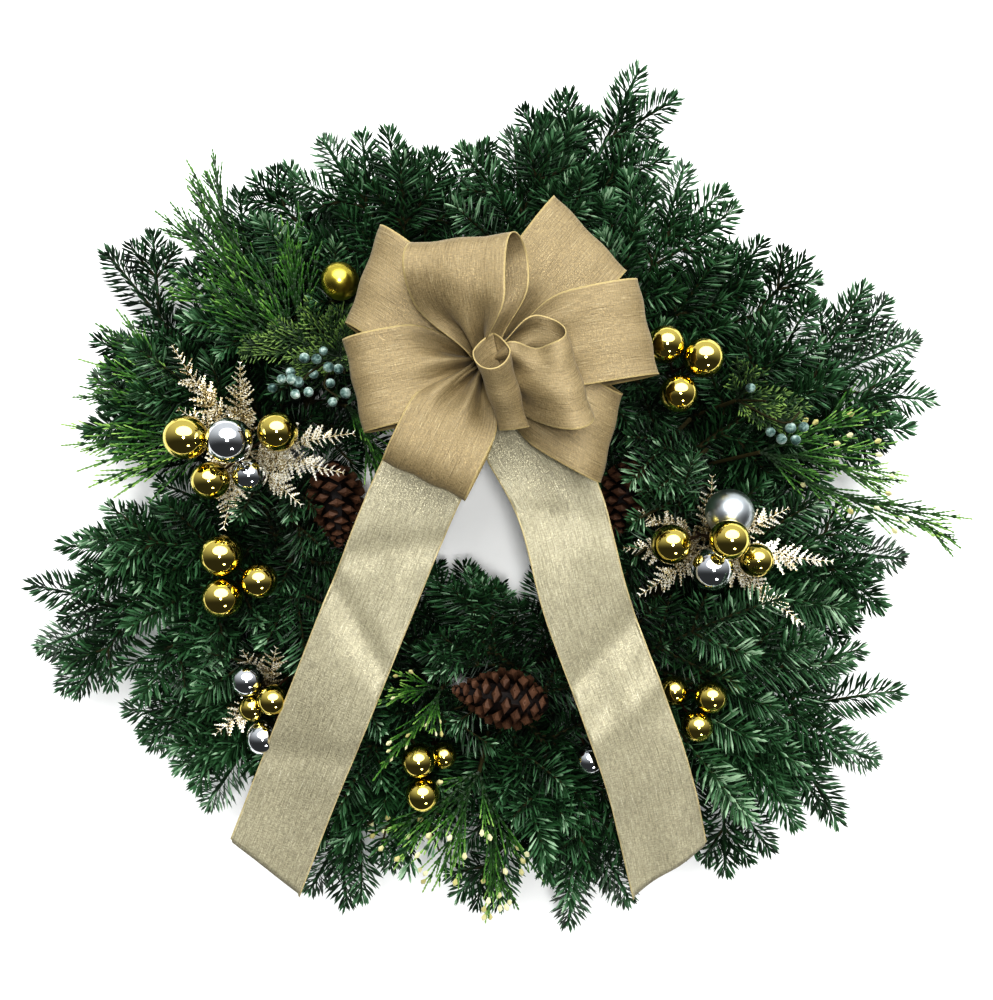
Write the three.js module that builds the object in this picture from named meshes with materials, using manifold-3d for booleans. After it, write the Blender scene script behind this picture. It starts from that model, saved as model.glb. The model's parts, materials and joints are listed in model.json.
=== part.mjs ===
// A fresh evergreen wreath lying on its back, face up, on a flat surface.
// Fir boughs, cedar and juniper sprigs, pine cones, picks of shiny balls and glittered fern,
// and a wired ribbon bow are all held by a wire ring with two rails and twelve clamps.
// Millimetres, +Z up. The ring's flat underside rests at z = 0.

import * as THREE from 'three';
import { mergeVertices } from 'three/addons/utils/BufferGeometryUtils.js';
import Module from 'manifold-3d';

const wasm = await Module();
wasm.setup();

// Ring
const RING_X = -20;
const RING_Y = -5;
const RAIL_INNER = 146;
const RAIL_OUTER = 180;
const RAIL_SIZE = 3.2;
const RAIL_SIDES = 24;
const CLAMPS = 12;
const CLAMP_WIDTH = 5;
const CLAMP_OVERHANG = 7;
const PRONG_HEIGHT = 17;
const PRONG_HOOK = 3;
const PRONG_SHOULDER = 4;
const PRONG_MOUTH = 6;
const STRAP_UNDER = 3;
const STRAP_TOP = 5.4;
const SEAT_GAP = 0.3;
const SEAT_RUN = 4;

// Fir boughs
const STEM_RADIUS = 3;
const STEM_SLOT = { outer: 172.5, face: 163, inner: 153.5 };
const STEM_TURN = { outer: -1, face: 1 };
const CUT_END = 12;
const STRAIGHT = 14;
const STEM_MARGIN = 0.4;
const TWIG_SHARES = { outer: [0.4, 0.58, 0.76], face: [0.44, 0.68], inner: [0.44, 0.68] };
const TWIG_RADIUS = 2.2;
const TWIG_ROOT = 4;
const TWIG_WHORL = 0.68;
const LEADER_BEND = 0.26;
const LEADER_STEPS = 16;
const NEEDLE_LENGTH = 22;
const NEEDLE_RADIUS = 0.9;
const NEEDLE_PITCH = 2.2;
const NEEDLE_LEANS = [0.75, 1.1, 0.4];
const NEEDLE_BERTH = NEEDLE_RADIUS * 1.6;
const LEADER_TURN = 0.7;
const TWIG_TURN = 1.5;
const WHORLS = { outer: [0.88], face: [0.48, 0.88], inner: [0.88] };
const CLEARANCE = 0.6;
const LOWEST = 0.6;

// Picks, sprigs and bow
const WIRE_RADIUS = 1;
const BALL_SIDES = 7;
const BALL_RINGS = 4;
const BEAD_SIDES = 5;
const BEAD_RINGS = 3;
const BALL_GAP = 0.8;
const SETTLE_ROUNDS = 60;
const FORK_STEP = 0.12;
const WOODY_RADIUS = 1.6;
const BUD_RADIUS = 3;
const BERRY_WIRE = 0.9;
const FROND_THICK = 0.9;
const BERRY_RADIUS = 4;
const RIBBON_WIDTH = 63.5;
const RIBBON_THICK = 1.2;
const RIBBON_STEPS = 8;

const UP = new THREE.Vector3(0, 0, 1);
const GOLDEN_ANGLE = Math.PI * (3 - Math.sqrt(5));

const group = new THREE.Group();
const occupied = [];

const MATERIALS = {
  wire: { color: 0x39513f, roughness: 0.5, metalness: 0.6 },
  fir: { color: 0x2c5638, roughness: 0.6, metalness: 0 },
  cedar: { color: 0x7f9c3c, roughness: 0.6, metalness: 0 },
  juniper: { color: 0x5d7f62, roughness: 0.65, metalness: 0 },
  cone: { color: 0x7a4526, roughness: 0.7, metalness: 0 },
  gold: { color: 0xcfa63c, roughness: 0.15, metalness: 1 },
  silver: { color: 0xd6d8dc, roughness: 0.15, metalness: 1 },
  glitter: { color: 0xcbb08a, roughness: 0.45, metalness: 0.4 },
  ribbon: { color: 0xcdb48a, roughness: 0.55, metalness: 0.2 },
  tie: { color: 0x8a5a3a, roughness: 0.4, metalness: 0.8 },
};

function point([x, y, z]) {
  return new THREE.Vector3(x, y, z);
}

function degrees(angle) {
  return THREE.MathUtils.degToRad(angle);
}

// A point given by its distance from the ring's middle, its bearing and its height.
function around(radius, bearing, height) {
  const angle = degrees(bearing);
  return new THREE.Vector3(RING_X + radius * Math.cos(angle), RING_Y + radius * Math.sin(angle), height);
}

function randomStream(seed) {
  let state = seed >>> 0;
  return () => {
    state = (state + 0x6d2b79f5) >>> 0;
    let mixed = Math.imul(state ^ (state >>> 15), state | 1);
    mixed ^= mixed + Math.imul(mixed ^ (mixed >>> 7), mixed | 61);
    return ((mixed ^ (mixed >>> 14)) >>> 0) / 4294967296;
  };
}

// Solids: three.js geometry turned into closed bodies, joined, and turned back.

function solidOf(geometry) {
  const bare = geometry.index ? geometry.toNonIndexed() : geometry;
  bare.deleteAttribute('normal');
  bare.deleteAttribute('uv');
  const merged = mergeVertices(bare, 1e-4);
  const vertProperties = new Float32Array(merged.attributes.position.array);
  const triVerts = new Uint32Array(merged.index.array);
  return new wasm.Manifold(new wasm.Mesh({ numProp: 3, vertProperties, triVerts }));
}

function addNode(name, material, solids) {
  let joined = solids[0];
  for (const solid of solids.slice(1)) {
    joined = joined.add(solid);
  }
  const mesh = joined.getMesh();
  const geometry = new THREE.BufferGeometry();
  geometry.setAttribute('position', new THREE.BufferAttribute(new Float32Array(mesh.vertProperties), 3));
  geometry.setIndex(new THREE.BufferAttribute(new Uint32Array(mesh.triVerts), 1));
  geometry.computeVertexNormals();
  const node = new THREE.Mesh(geometry, new THREE.MeshStandardMaterial(MATERIALS[material]));
  node.name = name;
  group.add(node);
}

// Four-sided stem. Each ring gives its corners, and a corner may be drawn out into a needle.
function needledStem(rings, tip) {
  const positions = [];
  const index = [];
  rings.forEach(({ corners, needles }, i) => {
    corners.forEach((corner, k) => positions.push(...(needles[k] ?? corner).toArray()));
    const after = rings[i + 1];
    for (let k = 0; k < 4; k += 1) {
      const a = i * 4 + k;
      const b = i * 4 + (k + 1) % 4;
      if (!after) {
        index.push(a, rings.length * 4, b);
      } else if (needles[k] || after.needles[(k + 1) % 4]) {
        index.push(a, a + 4, b, b, a + 4, b + 4);
      } else {
        index.push(a, a + 4, b + 4, a, b + 4, b);
      }
    }
  });
  positions.push(...tip.toArray());
  index.push(0, 1, 2, 0, 2, 3);
  const geometry = new THREE.BufferGeometry();
  geometry.setAttribute('position', new THREE.Float32BufferAttribute(positions, 3));
  geometry.setIndex(index);
  return solidOf(geometry);
}

// A route that runs straight from point to point, and turns at each.
class Route extends THREE.Curve {
  constructor(points) {
    super();
    this.points = points;
  }

  getPoint(share) {
    const spans = this.points.length - 1;
    const index = Math.min(Math.floor(share * spans + 1e-9), spans - 1);
    return this.points[index].clone().lerp(this.points[index + 1], share * spans - index);
  }

  getPointAt(share) {
    return this.getPoint(share);
  }

  getTangentAt(share) {
    const near = 0.02 / this.points.length;
    const ahead = this.getPoint(Math.min(share + near, 1)).sub(this.getPoint(Math.max(share - near, 0)));
    return ahead.normalize();
  }
}

// A three-sided wire through two or more points.
function wireAlong(points, radius) {
  const section = new THREE.Shape();
  section.moveTo(radius, 0);
  section.lineTo(-radius / 2, radius * 0.87);
  section.lineTo(-radius / 2, -radius * 0.87);
  section.closePath();
  const extrusion = { steps: points.length - 1, extrudePath: new Route(points), bevelEnabled: false };
  return solidOf(new THREE.ExtrudeGeometry(section, extrusion));
}

function ball(centre, radius, sides = BALL_SIDES, rings = BALL_RINGS) {
  const geometry = new THREE.SphereGeometry(radius, sides, rings);
  geometry.translate(centre.x, centre.y, centre.z);
  return solidOf(geometry);
}

// Room taken: every stem, needle, wire, ball and ribbon is noted as capsules.

function claim(node, start, end, radius) {
  occupied.push({ node, start: start.clone(), end: end.clone(), radius });
}

function claimPath(node, points, radius) {
  for (let i = 1; i < points.length; i += 1) {
    claim(node, points[i - 1], points[i], radius);
  }
}

function segmentGap(a, b, c, d) {
  const u = b.clone().sub(a);
  const v = d.clone().sub(c);
  const w = a.clone().sub(c);
  const uu = u.dot(u);
  const uv = u.dot(v);
  const vv = v.dot(v);
  const uw = u.dot(w);
  const vw = v.dot(w);
  const determinant = uu * vv - uv * uv;
  let s = determinant > 1e-9 ? THREE.MathUtils.clamp((uv * vw - vv * uw) / determinant, 0, 1) : 0;
  const t = vv > 1e-9 ? THREE.MathUtils.clamp((uv * s + vw) / vv, 0, 1) : 0;
  s = uu > 1e-9 ? THREE.MathUtils.clamp((uv * t - uw) / uu, 0, 1) : 0;
  return w.addScaledVector(u, s).addScaledVector(v, -t).length();
}

function roomAround(node, start, end, radius) {
  let least = Math.min(start.z, end.z) - radius - LOWEST + CLEARANCE;
  for (const other of occupied) {
    if (other.node !== node) {
      const gap = segmentGap(start, end, other.start, other.end) - radius - other.radius;
      least = Math.min(least, gap);
    }
  }
  return least;
}

function pathRoom(node, points, radius) {
  let least = Infinity;
  for (let i = 1; i < points.length; i += 1) {
    least = Math.min(least, roomAround(node, points[i - 1], points[i], radius));
  }
  return least;
}

// Wire ring: two flat-bottomed rails, and a crossbar with two bent prongs at each clamp.

function rail(radius) {
  const half = RAIL_SIZE / 2;
  const profile = [
    new THREE.Vector2(radius - half, 0),
    new THREE.Vector2(radius + half, 0),
    new THREE.Vector2(radius + half, RAIL_SIZE),
    new THREE.Vector2(radius - half, RAIL_SIZE),
    new THREE.Vector2(radius - half, 0),
  ];
  const geometry = new THREE.LatheGeometry(profile, RAIL_SIDES);
  geometry.rotateX(Math.PI / 2);
  geometry.rotateZ(Math.PI / RAIL_SIDES);
  return solidOf(geometry);
}

// One clamp: a crossbar over both rails whose ends stand up and bend over the stems.
function clampStrap(innerFoot, outerFoot) {
  const outline = new THREE.Shape();
  outline.moveTo(innerFoot, STRAP_UNDER);
  outline.lineTo(outerFoot, STRAP_UNDER);
  outline.lineTo(outerFoot, PRONG_HEIGHT - PRONG_SHOULDER);
  outline.lineTo(outerFoot - RAIL_SIZE - PRONG_HOOK, PRONG_HEIGHT);
  outline.lineTo(outerFoot - RAIL_SIZE, PRONG_HEIGHT - PRONG_MOUTH);
  outline.lineTo(outerFoot - RAIL_SIZE, STRAP_TOP);
  outline.lineTo(innerFoot + RAIL_SIZE, STRAP_TOP);
  outline.lineTo(innerFoot + RAIL_SIZE, PRONG_HEIGHT - PRONG_MOUTH);
  outline.lineTo(innerFoot + RAIL_SIZE + PRONG_HOOK, PRONG_HEIGHT);
  outline.lineTo(innerFoot, PRONG_HEIGHT - PRONG_SHOULDER);
  outline.closePath();
  const geometry = new THREE.ExtrudeGeometry(outline, { depth: CLAMP_WIDTH, bevelEnabled: false });
  geometry.translate(0, 0, -CLAMP_WIDTH / 2);
  geometry.rotateX(Math.PI / 2);
  return geometry;
}

function buildRing() {
  const solids = [rail(RAIL_INNER), rail(RAIL_OUTER)];
  const innerFoot = RAIL_INNER - CLAMP_OVERHANG;
  const outerFoot = RAIL_OUTER + CLAMP_OVERHANG;
  for (let i = 0; i < CLAMPS; i += 1) {
    const bearing = i * 360 / CLAMPS;
    const strap = clampStrap(innerFoot, outerFoot);
    strap.rotateZ(degrees(bearing));
    solids.push(solidOf(strap));
    for (const [foot, way] of [[innerFoot, 1], [outerFoot, -1]]) {
      const middle = foot + way * RAIL_SIZE / 2;
      claim('wire_ring', around(middle, bearing, STRAP_UNDER),
        around(middle, bearing, PRONG_HEIGHT - PRONG_MOUTH), RAIL_SIZE);
      claim('wire_ring', around(middle, bearing, PRONG_HEIGHT - PRONG_SHOULDER),
        around(middle + way * PRONG_HOOK, bearing, PRONG_HEIGHT - WIRE_RADIUS), PRONG_HOOK);
    }
  }
  for (const radius of [RAIL_INNER, RAIL_OUTER]) {
    for (let i = 0; i < RAIL_SIDES * 2; i += 1) {
      const step = 180 / RAIL_SIDES;
      claim('wire_ring', around(radius, i * step, RAIL_SIZE / 2),
        around(radius, (i + 1) * step, RAIL_SIZE / 2), RAIL_SIZE / 2);
    }
  }
  addNode('wire_ring', 'wire', solids.map((solid) => solid.translate([RING_X, RING_Y, 0])));
}

// The foot of a pick or sprig: its wire lies along a rail for a little way, then climbs.
function footOnRail(radius, bearing, turn, thickness) {
  const height = RAIL_SIZE + SEAT_GAP + thickness;
  return [around(radius, bearing - turn * SEAT_RUN, height), around(radius, bearing, height)];
}

// Balls of one cluster are pushed apart until they only touch.
function settle(balls) {
  for (let round = 0; round < SETTLE_ROUNDS; round += 1) {
    for (let i = 0; i < balls.length; i += 1) {
      for (let j = i + 1; j < balls.length; j += 1) {
        const apart = balls[j].centre.clone().sub(balls[i].centre);
        const short = balls[i].radius + balls[j].radius + BALL_GAP - apart.length();
        if (short > 0) {
          apart.normalize();
          balls[i].centre.addScaledVector(apart, -short / 2);
          balls[j].centre.addScaledVector(apart, short / 2);
        }
      }
    }
  }
}

// Ball picks: [x, y, z, radius] of each ball, where its wires meet, and the foot on the rail.
const BALL_CLUSTERS = {
  a: {
    gold: { balls: [[-118, 155, 95, 14]], waist: [-122, 148, 66], rail: RAIL_INNER, bearing: 128.5, turn: 1 },
  },
  b: {
    gold: {
      balls: [[-221, 38, 118, 15.6], [-160, 43, 110, 14.4], [-210, 8, 105, 13.8]],
      waist: [-189, 32, 82],
      rail: RAIL_OUTER,
      bearing: 162.5,
      turn: 1,
    },
    silver: {
      balls: [[-193, 36, 122, 16.2], [-183, 12, 100, 12.4]],
      waist: [-186, 2, 80],
      rail: RAIL_OUTER,
      bearing: 176,
      turn: 1,
    },
  },
  c: {
    gold: {
      balls: [[-203, -47, 102, 15.3], [-176, -65, 100, 13.1], [-203, -77, 100, 14.6]],
      waist: [-193, -63, 72],
      rail: RAIL_OUTER,
      bearing: 197,
      turn: 1,
    },
  },
  d: {
    gold: {
      balls: [[-170, -153, 92, 11.5], [-184, -166, 82, 10.5]],
      waist: [-168, -147, 80],
      rail: RAIL_INNER,
      bearing: 224,
      turn: 1,
    },
    silver: {
      balls: [[-186, -143, 88, 12], [-180, -179, 82, 12.7]],
      waist: [-164, -156, 62],
      rail: RAIL_OUTER,
      bearing: 230,
      turn: 1,
    },
  },
  e: {
    gold: {
      balls: [[-60, -200, 88, 12.7], [-58, -226, 86, 12.7], [-44, -201, 74, 10]],
      waist: [-53, -202, 55],
      rail: RAIL_OUTER,
      bearing: 259,
      turn: -1,
    },
  },
  f: {
    silver: { balls: [[68, -202, 80, 11]], waist: [62, -188, 60], rail: RAIL_OUTER, bearing: 294, turn: -1 },
  },
  g: {
    gold: {
      balls: [[130, -149, 84, 11.1], [155, -152, 94, 11.8], [146, -173, 92, 11.5]],
      waist: [134, -152, 62],
      rail: RAIL_OUTER,
      bearing: 316,
      turn: -1,
    },
  },
  h: {
    gold: {
      balls: [[123, -38, 108, 14.4], [160, -32, 126, 14], [187, -50, 100, 12.4]],
      waist: [149, -33, 88],
      rail: RAIL_OUTER,
      bearing: 353.5,
      turn: -1,
    },
    silver: {
      balls: [[152, -56, 108, 15.5], [166, -17, 105, 17.4]],
      waist: [153, -60, 76],
      rail: RAIL_OUTER,
      bearing: 341.5,
      turn: 1,
    },
  },
  i: {
    gold: {
      balls: [[121, 106, 106, 13.7], [145, 97, 108, 14.4], [129, 71, 106, 13.7]],
      waist: [131, 90, 76],
      rail: RAIL_OUTER,
      bearing: 36,
      turn: 1,
    },
  },
};

function buildBallPicks() {
  for (const [letter, cluster] of Object.entries(BALL_CLUSTERS)) {
    const picks = Object.entries(cluster);
    const all = [];
    for (const [, pick] of picks) {
      pick.placed = pick.balls.map(([x, y, z, radius]) => ({ centre: point([x, y, z]), radius }));
      all.push(...pick.placed);
    }
    settle(all);
    for (const [finish, pick] of picks) {
      const name = `ball_pick_${letter}_${finish}`;
      const waist = point(pick.waist);
      const [heel, foot] = footOnRail(pick.rail, pick.bearing, pick.turn, WIRE_RADIUS);
      const crown = pick.placed[0].centre;
      const solids = [wireAlong([heel, foot, waist, crown], WIRE_RADIUS)];
      claimPath(name, [heel, foot, waist, crown], WIRE_RADIUS);
      pick.placed.forEach(({ centre, radius }, i) => {
        solids.push(ball(centre, radius));
        claim(name, centre, centre, radius);
        if (i > 0) {
          const fork = waist.clone().lerp(foot, FORK_STEP * i);
          solids.push(wireAlong([fork, centre], WIRE_RADIUS));
          claim(name, fork, centre, WIRE_RADIUS);
        }
      });
      addNode(name, finish, solids);
    }
  }
}

// Glittered fern picks: fronds spread from one wire, each a toothed blade cut to its rib.
const FERN_PICKS = {
  b: {
    rail: RAIL_OUTER,
    bearing: 167.5,
    turn: 1,
    waist: [-196, 31, 58],
    fronds: [[-244, 109, 90], [-192, 96, 94], [-240, 62, 88], [-107, 43, 97], [-116, 14, 88],
      [-150, -10, 80], [-209, -28, 80], [-232, 6, 82]],
  },
  d: {
    rail: RAIL_OUTER,
    bearing: 225,
    turn: 1,
    waist: [-181, -155, 48],
    fronds: [[-196, -120, 76], [-170, -118, 76], [-219, -186, 70]],
  },
  h: {
    rail: RAIL_OUTER,
    bearing: 346.5,
    turn: 1,
    waist: [160, -44, 52],
    fronds: [[92, -42, 84], [104, -78, 84], [160, 12, 80], [104, -14, 80], [223, -98, 80],
      [249, -52, 82], [218, -12, 80]],
  },
};
const FROND = { width: 27, teeth: 3, rib: 1, forward: 0.5, arch: 0.1 };
const CEDAR_FAN = { width: 30, teeth: 3, rib: 1.3, forward: 1.5, arch: 0.05 };
const FIRST_TOOTH = 0.2;
const TOOTH_RUN = 0.7;
const TOOTH_SLOPE = 0.05;
const BLADE_CLAIMS = 6;
const ROOT_INSET = 0.02;
const TOOTH_BERTH = 1.5;

// A thin arched blade, cut into teeth down to its rib on both sides.
function toothedBlade(root, tip, { width, teeth, rib, forward, arch }) {
  const length = root.distanceTo(tip);
  const edge = [];
  for (let i = 0; i < teeth; i += 1) {
    const share = FIRST_TOOTH + TOOTH_RUN * i / teeth;
    const reach = width / 2 * Math.min(1, 0.6 + i * 0.35) * (1 - 0.5 * i / teeth);
    const peak = Math.min((share + TOOTH_SLOPE) * length + reach * forward, length * 0.97);
    edge.push([share * length, rib], [peak, reach]);
  }
  const outline = new THREE.Shape();
  outline.moveTo(0, -rib);
  edge.forEach(([along, across]) => outline.lineTo(along, -across));
  outline.lineTo(length, 0);
  edge.slice().reverse().forEach(([along, across]) => outline.lineTo(along, across));
  outline.lineTo(0, rib);
  outline.closePath();
  const heading = tip.clone().sub(root).normalize();
  const side = UP.clone().cross(heading).normalize();
  const rise = heading.clone().cross(side);
  const place = (along, across, above) => root.clone().addScaledVector(heading, along)
    .addScaledVector(side, across)
    .addScaledVector(rise, above + arch * length * Math.sin(Math.PI * along / length));
  const geometry = new THREE.ExtrudeGeometry(outline, { depth: FROND_THICK, bevelEnabled: false });
  const position = geometry.attributes.position;
  for (let i = 0; i < position.count; i += 1) {
    const { x, y, z } = place(position.getX(i), position.getY(i), position.getZ(i) - FROND_THICK / 2);
    position.setXYZ(i, x, y, z);
  }
  const claims = [];
  for (let i = 0; i < BLADE_CLAIMS; i += 1) {
    const start = place(length * i / BLADE_CLAIMS, 0, 0);
    claims.push([start, place(length * (i + 1) / BLADE_CLAIMS, 0, 0), rib + SEAT_GAP]);
  }
  for (let i = 0; i < edge.length; i += 2) {
    const [along, across] = edge[i + 1];
    const next = edge[i + 2] ?? [length, 0];
    for (const way of [-1, 1]) {
      const peak = place(along, way * across, 0);
      claims.push([place(edge[i][0], 0, 0), peak, TOOTH_BERTH], [peak, place(next[0], 0, 0), TOOTH_BERTH]);
    }
  }
  return { solid: solidOf(geometry), claims };
}

function buildFernPicks() {
  for (const [letter, pick] of Object.entries(FERN_PICKS)) {
    const name = `glitter_fern_${letter}`;
    const waist = point(pick.waist);
    const stem = [...footOnRail(pick.rail, pick.bearing, pick.turn, WIRE_RADIUS), waist];
    const solids = [wireAlong(stem, WIRE_RADIUS), ball(waist, BUD_RADIUS, 4, 2)];
    claimPath(name, stem, WIRE_RADIUS);
    claim(name, waist, waist, BUD_RADIUS);
    for (const target of pick.fronds) {
      const tip = point(target);
      const { solid, claims } = toothedBlade(waist.clone().lerp(tip, ROOT_INSET), tip, FROND);
      solids.push(solid);
      claims.forEach(([start, end, radius]) => claim(name, start, end, radius));
    }
    addNode(name, 'glitter', solids);
  }
}

// Pine cones: woody scales in a golden-angle spiral over a core, wired to the inner rail.
const CONES = {
  low: { base: [36, -161, 80], apex: [-38, -149, 80], width: 50, bearing: 283, turn: 1 },
  left: { base: [-132, 24, 50], apex: [-124, -44, 66], width: 50, bearing: 172, turn: -1 },
  right: { base: [106, 26, 44], apex: [92, -36, 50], width: 48, bearing: 9, turn: 1 },
};
const CONE_SCALES = 12;
const CONE_CORE = 0.8;
const CONE_SIDES = 7;
const CONE_RINGS = 4;
const SCALE = { radius: 13, length: 20, flat: 0.6, sunk: 8 };
const CONE_BERTH = 3.5;

function coneSurface(share) {
  return Math.sin(Math.PI * Math.pow(share, 0.8) * 0.93 + 0.16);
}

function buildCones() {
  for (const [place, { base, apex, width, bearing, turn }] of Object.entries(CONES)) {
    const name = `pine_cone_${place}`;
    const root = point(base);
    const axis = point(apex).sub(root);
    const length = axis.length();
    axis.normalize();
    const upright = new THREE.Quaternion().setFromUnitVectors(new THREE.Vector3(0, 1, 0), axis);
    const profile = [new THREE.Vector2(0, 0)];
    for (let i = 1; i < CONE_RINGS; i += 1) {
      const share = i / CONE_RINGS;
      profile.push(new THREE.Vector2(coneSurface(share) * width / 2 * CONE_CORE, length * share));
    }
    profile.push(new THREE.Vector2(0, length));
    const core = new THREE.LatheGeometry(profile, CONE_SIDES);
    core.applyQuaternion(upright);
    core.translate(root.x, root.y, root.z);
    const solids = [solidOf(core)];
    for (let i = 0; i < CONE_SCALES; i += 1) {
      const share = 0.1 + 0.84 * (i + 0.5) / CONE_SCALES;
      const reach = coneSurface(share) * width / 2;
      const angle = i * GOLDEN_ANGLE;
      const scale = new THREE.ConeGeometry(SCALE.radius, SCALE.length, 3);
      scale.scale(SCALE.flat, 1, 1);
      scale.translate(0, SCALE.length / 5, 0);
      scale.rotateZ(-1.05 + 0.75 * share);
      scale.translate(reach - SCALE.sunk, share * length - 3, 0);
      scale.rotateY(angle);
      scale.applyQuaternion(upright);
      scale.translate(root.x, root.y, root.z);
      solids.push(solidOf(scale));
    }
    const foot = footOnRail(RAIL_INNER, bearing, turn, WIRE_RADIUS);
    const join = root.clone().addScaledVector(axis, SCALE.sunk);
    solids.push(wireAlong([...foot, join], WIRE_RADIUS));
    claimPath(name, [...foot, join], WIRE_RADIUS);
    for (let i = 0; i < BLADE_CLAIMS; i += 1) {
      const start = root.clone().addScaledVector(axis, length * i / BLADE_CLAIMS);
      const end = root.clone().addScaledVector(axis, length * (i + 1) / BLADE_CLAIMS);
      claim(name, start, end, coneSurface((i + 0.5) / BLADE_CLAIMS) * width / 2 + CONE_BERTH);
    }
    addNode(name, 'cone', solids);
  }
}

// Cedar and juniper sprigs: a woody stem from the rail, branchlets, and shoots off them.
const SPRIGS = {
  cedar_1: {
    rail: RAIL_INNER,
    bearing: 141,
    turn: 1,
    root: [-152, 108, 78],
    tips: [[-225, 246, 70], [-247, 204, 72], [-243, 152, 76], [-156, 186, 84]],
  },
  cedar_2: {
    rail: RAIL_OUTER,
    bearing: 157.5,
    turn: 1,
    root: [-204, 50, 66],
    tips: [[-288, 118, 66], [-311, 78, 60], [-309, 38, 62], [-292, 10, 68]],
  },
  cedar_3: {
    rail: RAIL_OUTER,
    bearing: 8,
    turn: 1,
    root: [196, 30, 80],
    tips: [[365, -44, 55], [300, 8, 64], [256, 56, 76]],
  },
  cedar_4: {
    rail: RAIL_OUTER,
    bearing: 274.5,
    turn: -1,
    root: [-16, -214, 72],
    tips: [[4, -314, 60], [-42, -278, 64], [-78, -258, 66]],
  },
  cedar_5: {
    rail: RAIL_INNER,
    bearing: 146.5,
    turn: 1,
    root: [-118, 66, 70],
    tips: [[-82, 12, 80], [-70, 44, 84]],
  },
  cedar_6: {
    rail: RAIL_INNER,
    bearing: 264,
    turn: -1,
    root: [-46, -153, 60],
    tips: [[-94, -145, 92], [-60, -178, 88]],
  },
  juniper_left: {
    rail: RAIL_INNER,
    bearing: 135.5,
    turn: 1,
    root: [-124, 104, 66],
    tips: [[-104, 124, 98], [-142, 134, 86]],
    berries: [[[-137, 88, 102], [-146, 78, 102]], [[-128, 78, 104], [-118, 69, 104]], [[-113, 86, 104]]],
  },
  juniper_right: {
    rail: RAIL_OUTER,
    bearing: 21,
    turn: 1,
    root: [180, 70, 74],
    tips: [[182, 92, 96], [228, 40, 96]],
    berries: [[[193, 66, 102]], [[206, 50, 102], [218, 58, 102]]],
  },
};

function buildSprigs() {
  for (const [name, sprig] of Object.entries(SPRIGS)) {
    const root = point(sprig.root);
    const stem = [...footOnRail(sprig.rail, sprig.bearing, sprig.turn, WOODY_RADIUS), root];
    const solids = [wireAlong(stem, WOODY_RADIUS), ball(root, BUD_RADIUS, 4, 2)];
    claimPath(name, stem, WOODY_RADIUS);
    claim(name, root, root, BUD_RADIUS);
    for (const target of sprig.tips) {
      const tip = point(target);
      const { solid, claims } = toothedBlade(root.clone().lerp(tip, ROOT_INSET), tip, CEDAR_FAN);
      solids.push(solid);
      claims.forEach(([start, end, radius]) => claim(name, start, end, radius));
    }
    for (const string of sprig.berries ?? []) {
      const centres = string.map(point);
      solids.push(wireAlong([root, ...centres], BERRY_WIRE));
      claimPath(name, [root, ...centres], BERRY_WIRE);
      for (const centre of centres) {
        solids.push(ball(centre, BERRY_RADIUS, BEAD_SIDES, BEAD_RINGS));
        claim(name, centre, centre, BERRY_RADIUS);
      }
    }
    addNode(name, name.startsWith('cedar') ? 'cedar' : 'juniper', solids);
  }
}

// Bow: wired ribbon in closed loops gathered at a knot, with two tails and a tie wire.
const KNOT = [-11, 95, 127];
const LOOPS = [
  { from: [-103, 112, 132], to: [-81, 177, 132], fullness: 38 },
  { from: [-108, 104, 136], to: [-95, 41, 136], fullness: 36 },
  { from: [-81, 22, 138], to: [-26, -4, 138], fullness: 36 },
  { from: [68, 7, 134], to: [83, 67, 134], fullness: 36 },
  { from: [107, 78, 143], to: [94, 144, 143], fullness: 38 },
  { from: [35, 194, 150], to: [82, 146, 150], fullness: 44 },
  { from: [-63, 154, 168], to: [7, 162, 168], fullness: 46 },
  { from: [66, 62, 168], to: [22, 30, 160], fullness: 42 },
];
const KNOT_BAND = { from: [-20, 49, 150], to: [6, 43, 150], fullness: 16 };
const TAILS = {
  left: [[-14, 88, 110], [-36, 50, 109], [-64, -8, 109], [-93, -78, 107], [-123, -152, 101],
    [-150, -216, 94], [-175, -280, 87]],
  right: [[-8, 88, 110], [12, 48, 110], [42, -8, 110], [61, -78, 108], [88, -152, 102],
    [110, -216, 96], [127, -284, 87]],
};

const LOOP_START = 0.22;
const LOOP_NECK = 0.14;
const TAIL_NECK = 0.2;
const BAND_SHARE = 0.42;
const KNOT_RADIUS = 12;
const PINCH = { width: 18, height: 13, bottom: 108.5, top: 114.9 };
const TIE_Y = 88;
const TIE_Z = 106.5;
const TIE_SPREAD = 4;

// A band of ribbon through stations that give its middle and half of its width.
function ribbon(stations) {
  const steps = stations.length - 1;
  const geometry = new THREE.BoxGeometry(2, 1, 1, 1, 1, steps);
  const position = geometry.attributes.position;
  for (let i = 0; i < position.count; i += 1) {
    const index = Math.round((position.getZ(i) + 0.5) * steps);
    const { middle, across } = stations[index];
    const before = stations[Math.max(index - 1, 0)].middle;
    const after = stations[Math.min(index + 1, steps)].middle;
    const normal = after.clone().sub(before).cross(across).normalize();
    const place = middle.clone().addScaledVector(across, position.getX(i));
    place.addScaledVector(normal, position.getY(i) * RIBBON_THICK);
    position.setXYZ(i, place.x, place.y, place.z);
  }
  return solidOf(geometry);
}

function claimRibbon(name, stations) {
  const lanes = [-0.9, -0.45, 0, 0.45, 0.9];
  for (let i = 1; i < stations.length; i += 1) {
    for (const lane of lanes) {
      const start = stations[i - 1].middle.clone().addScaledVector(stations[i - 1].across, lane);
      const end = stations[i].middle.clone().addScaledVector(stations[i].across, lane);
      claim(name, start, end, Math.max(1, stations[i].across.length() * 0.23));
    }
  }
}

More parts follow.
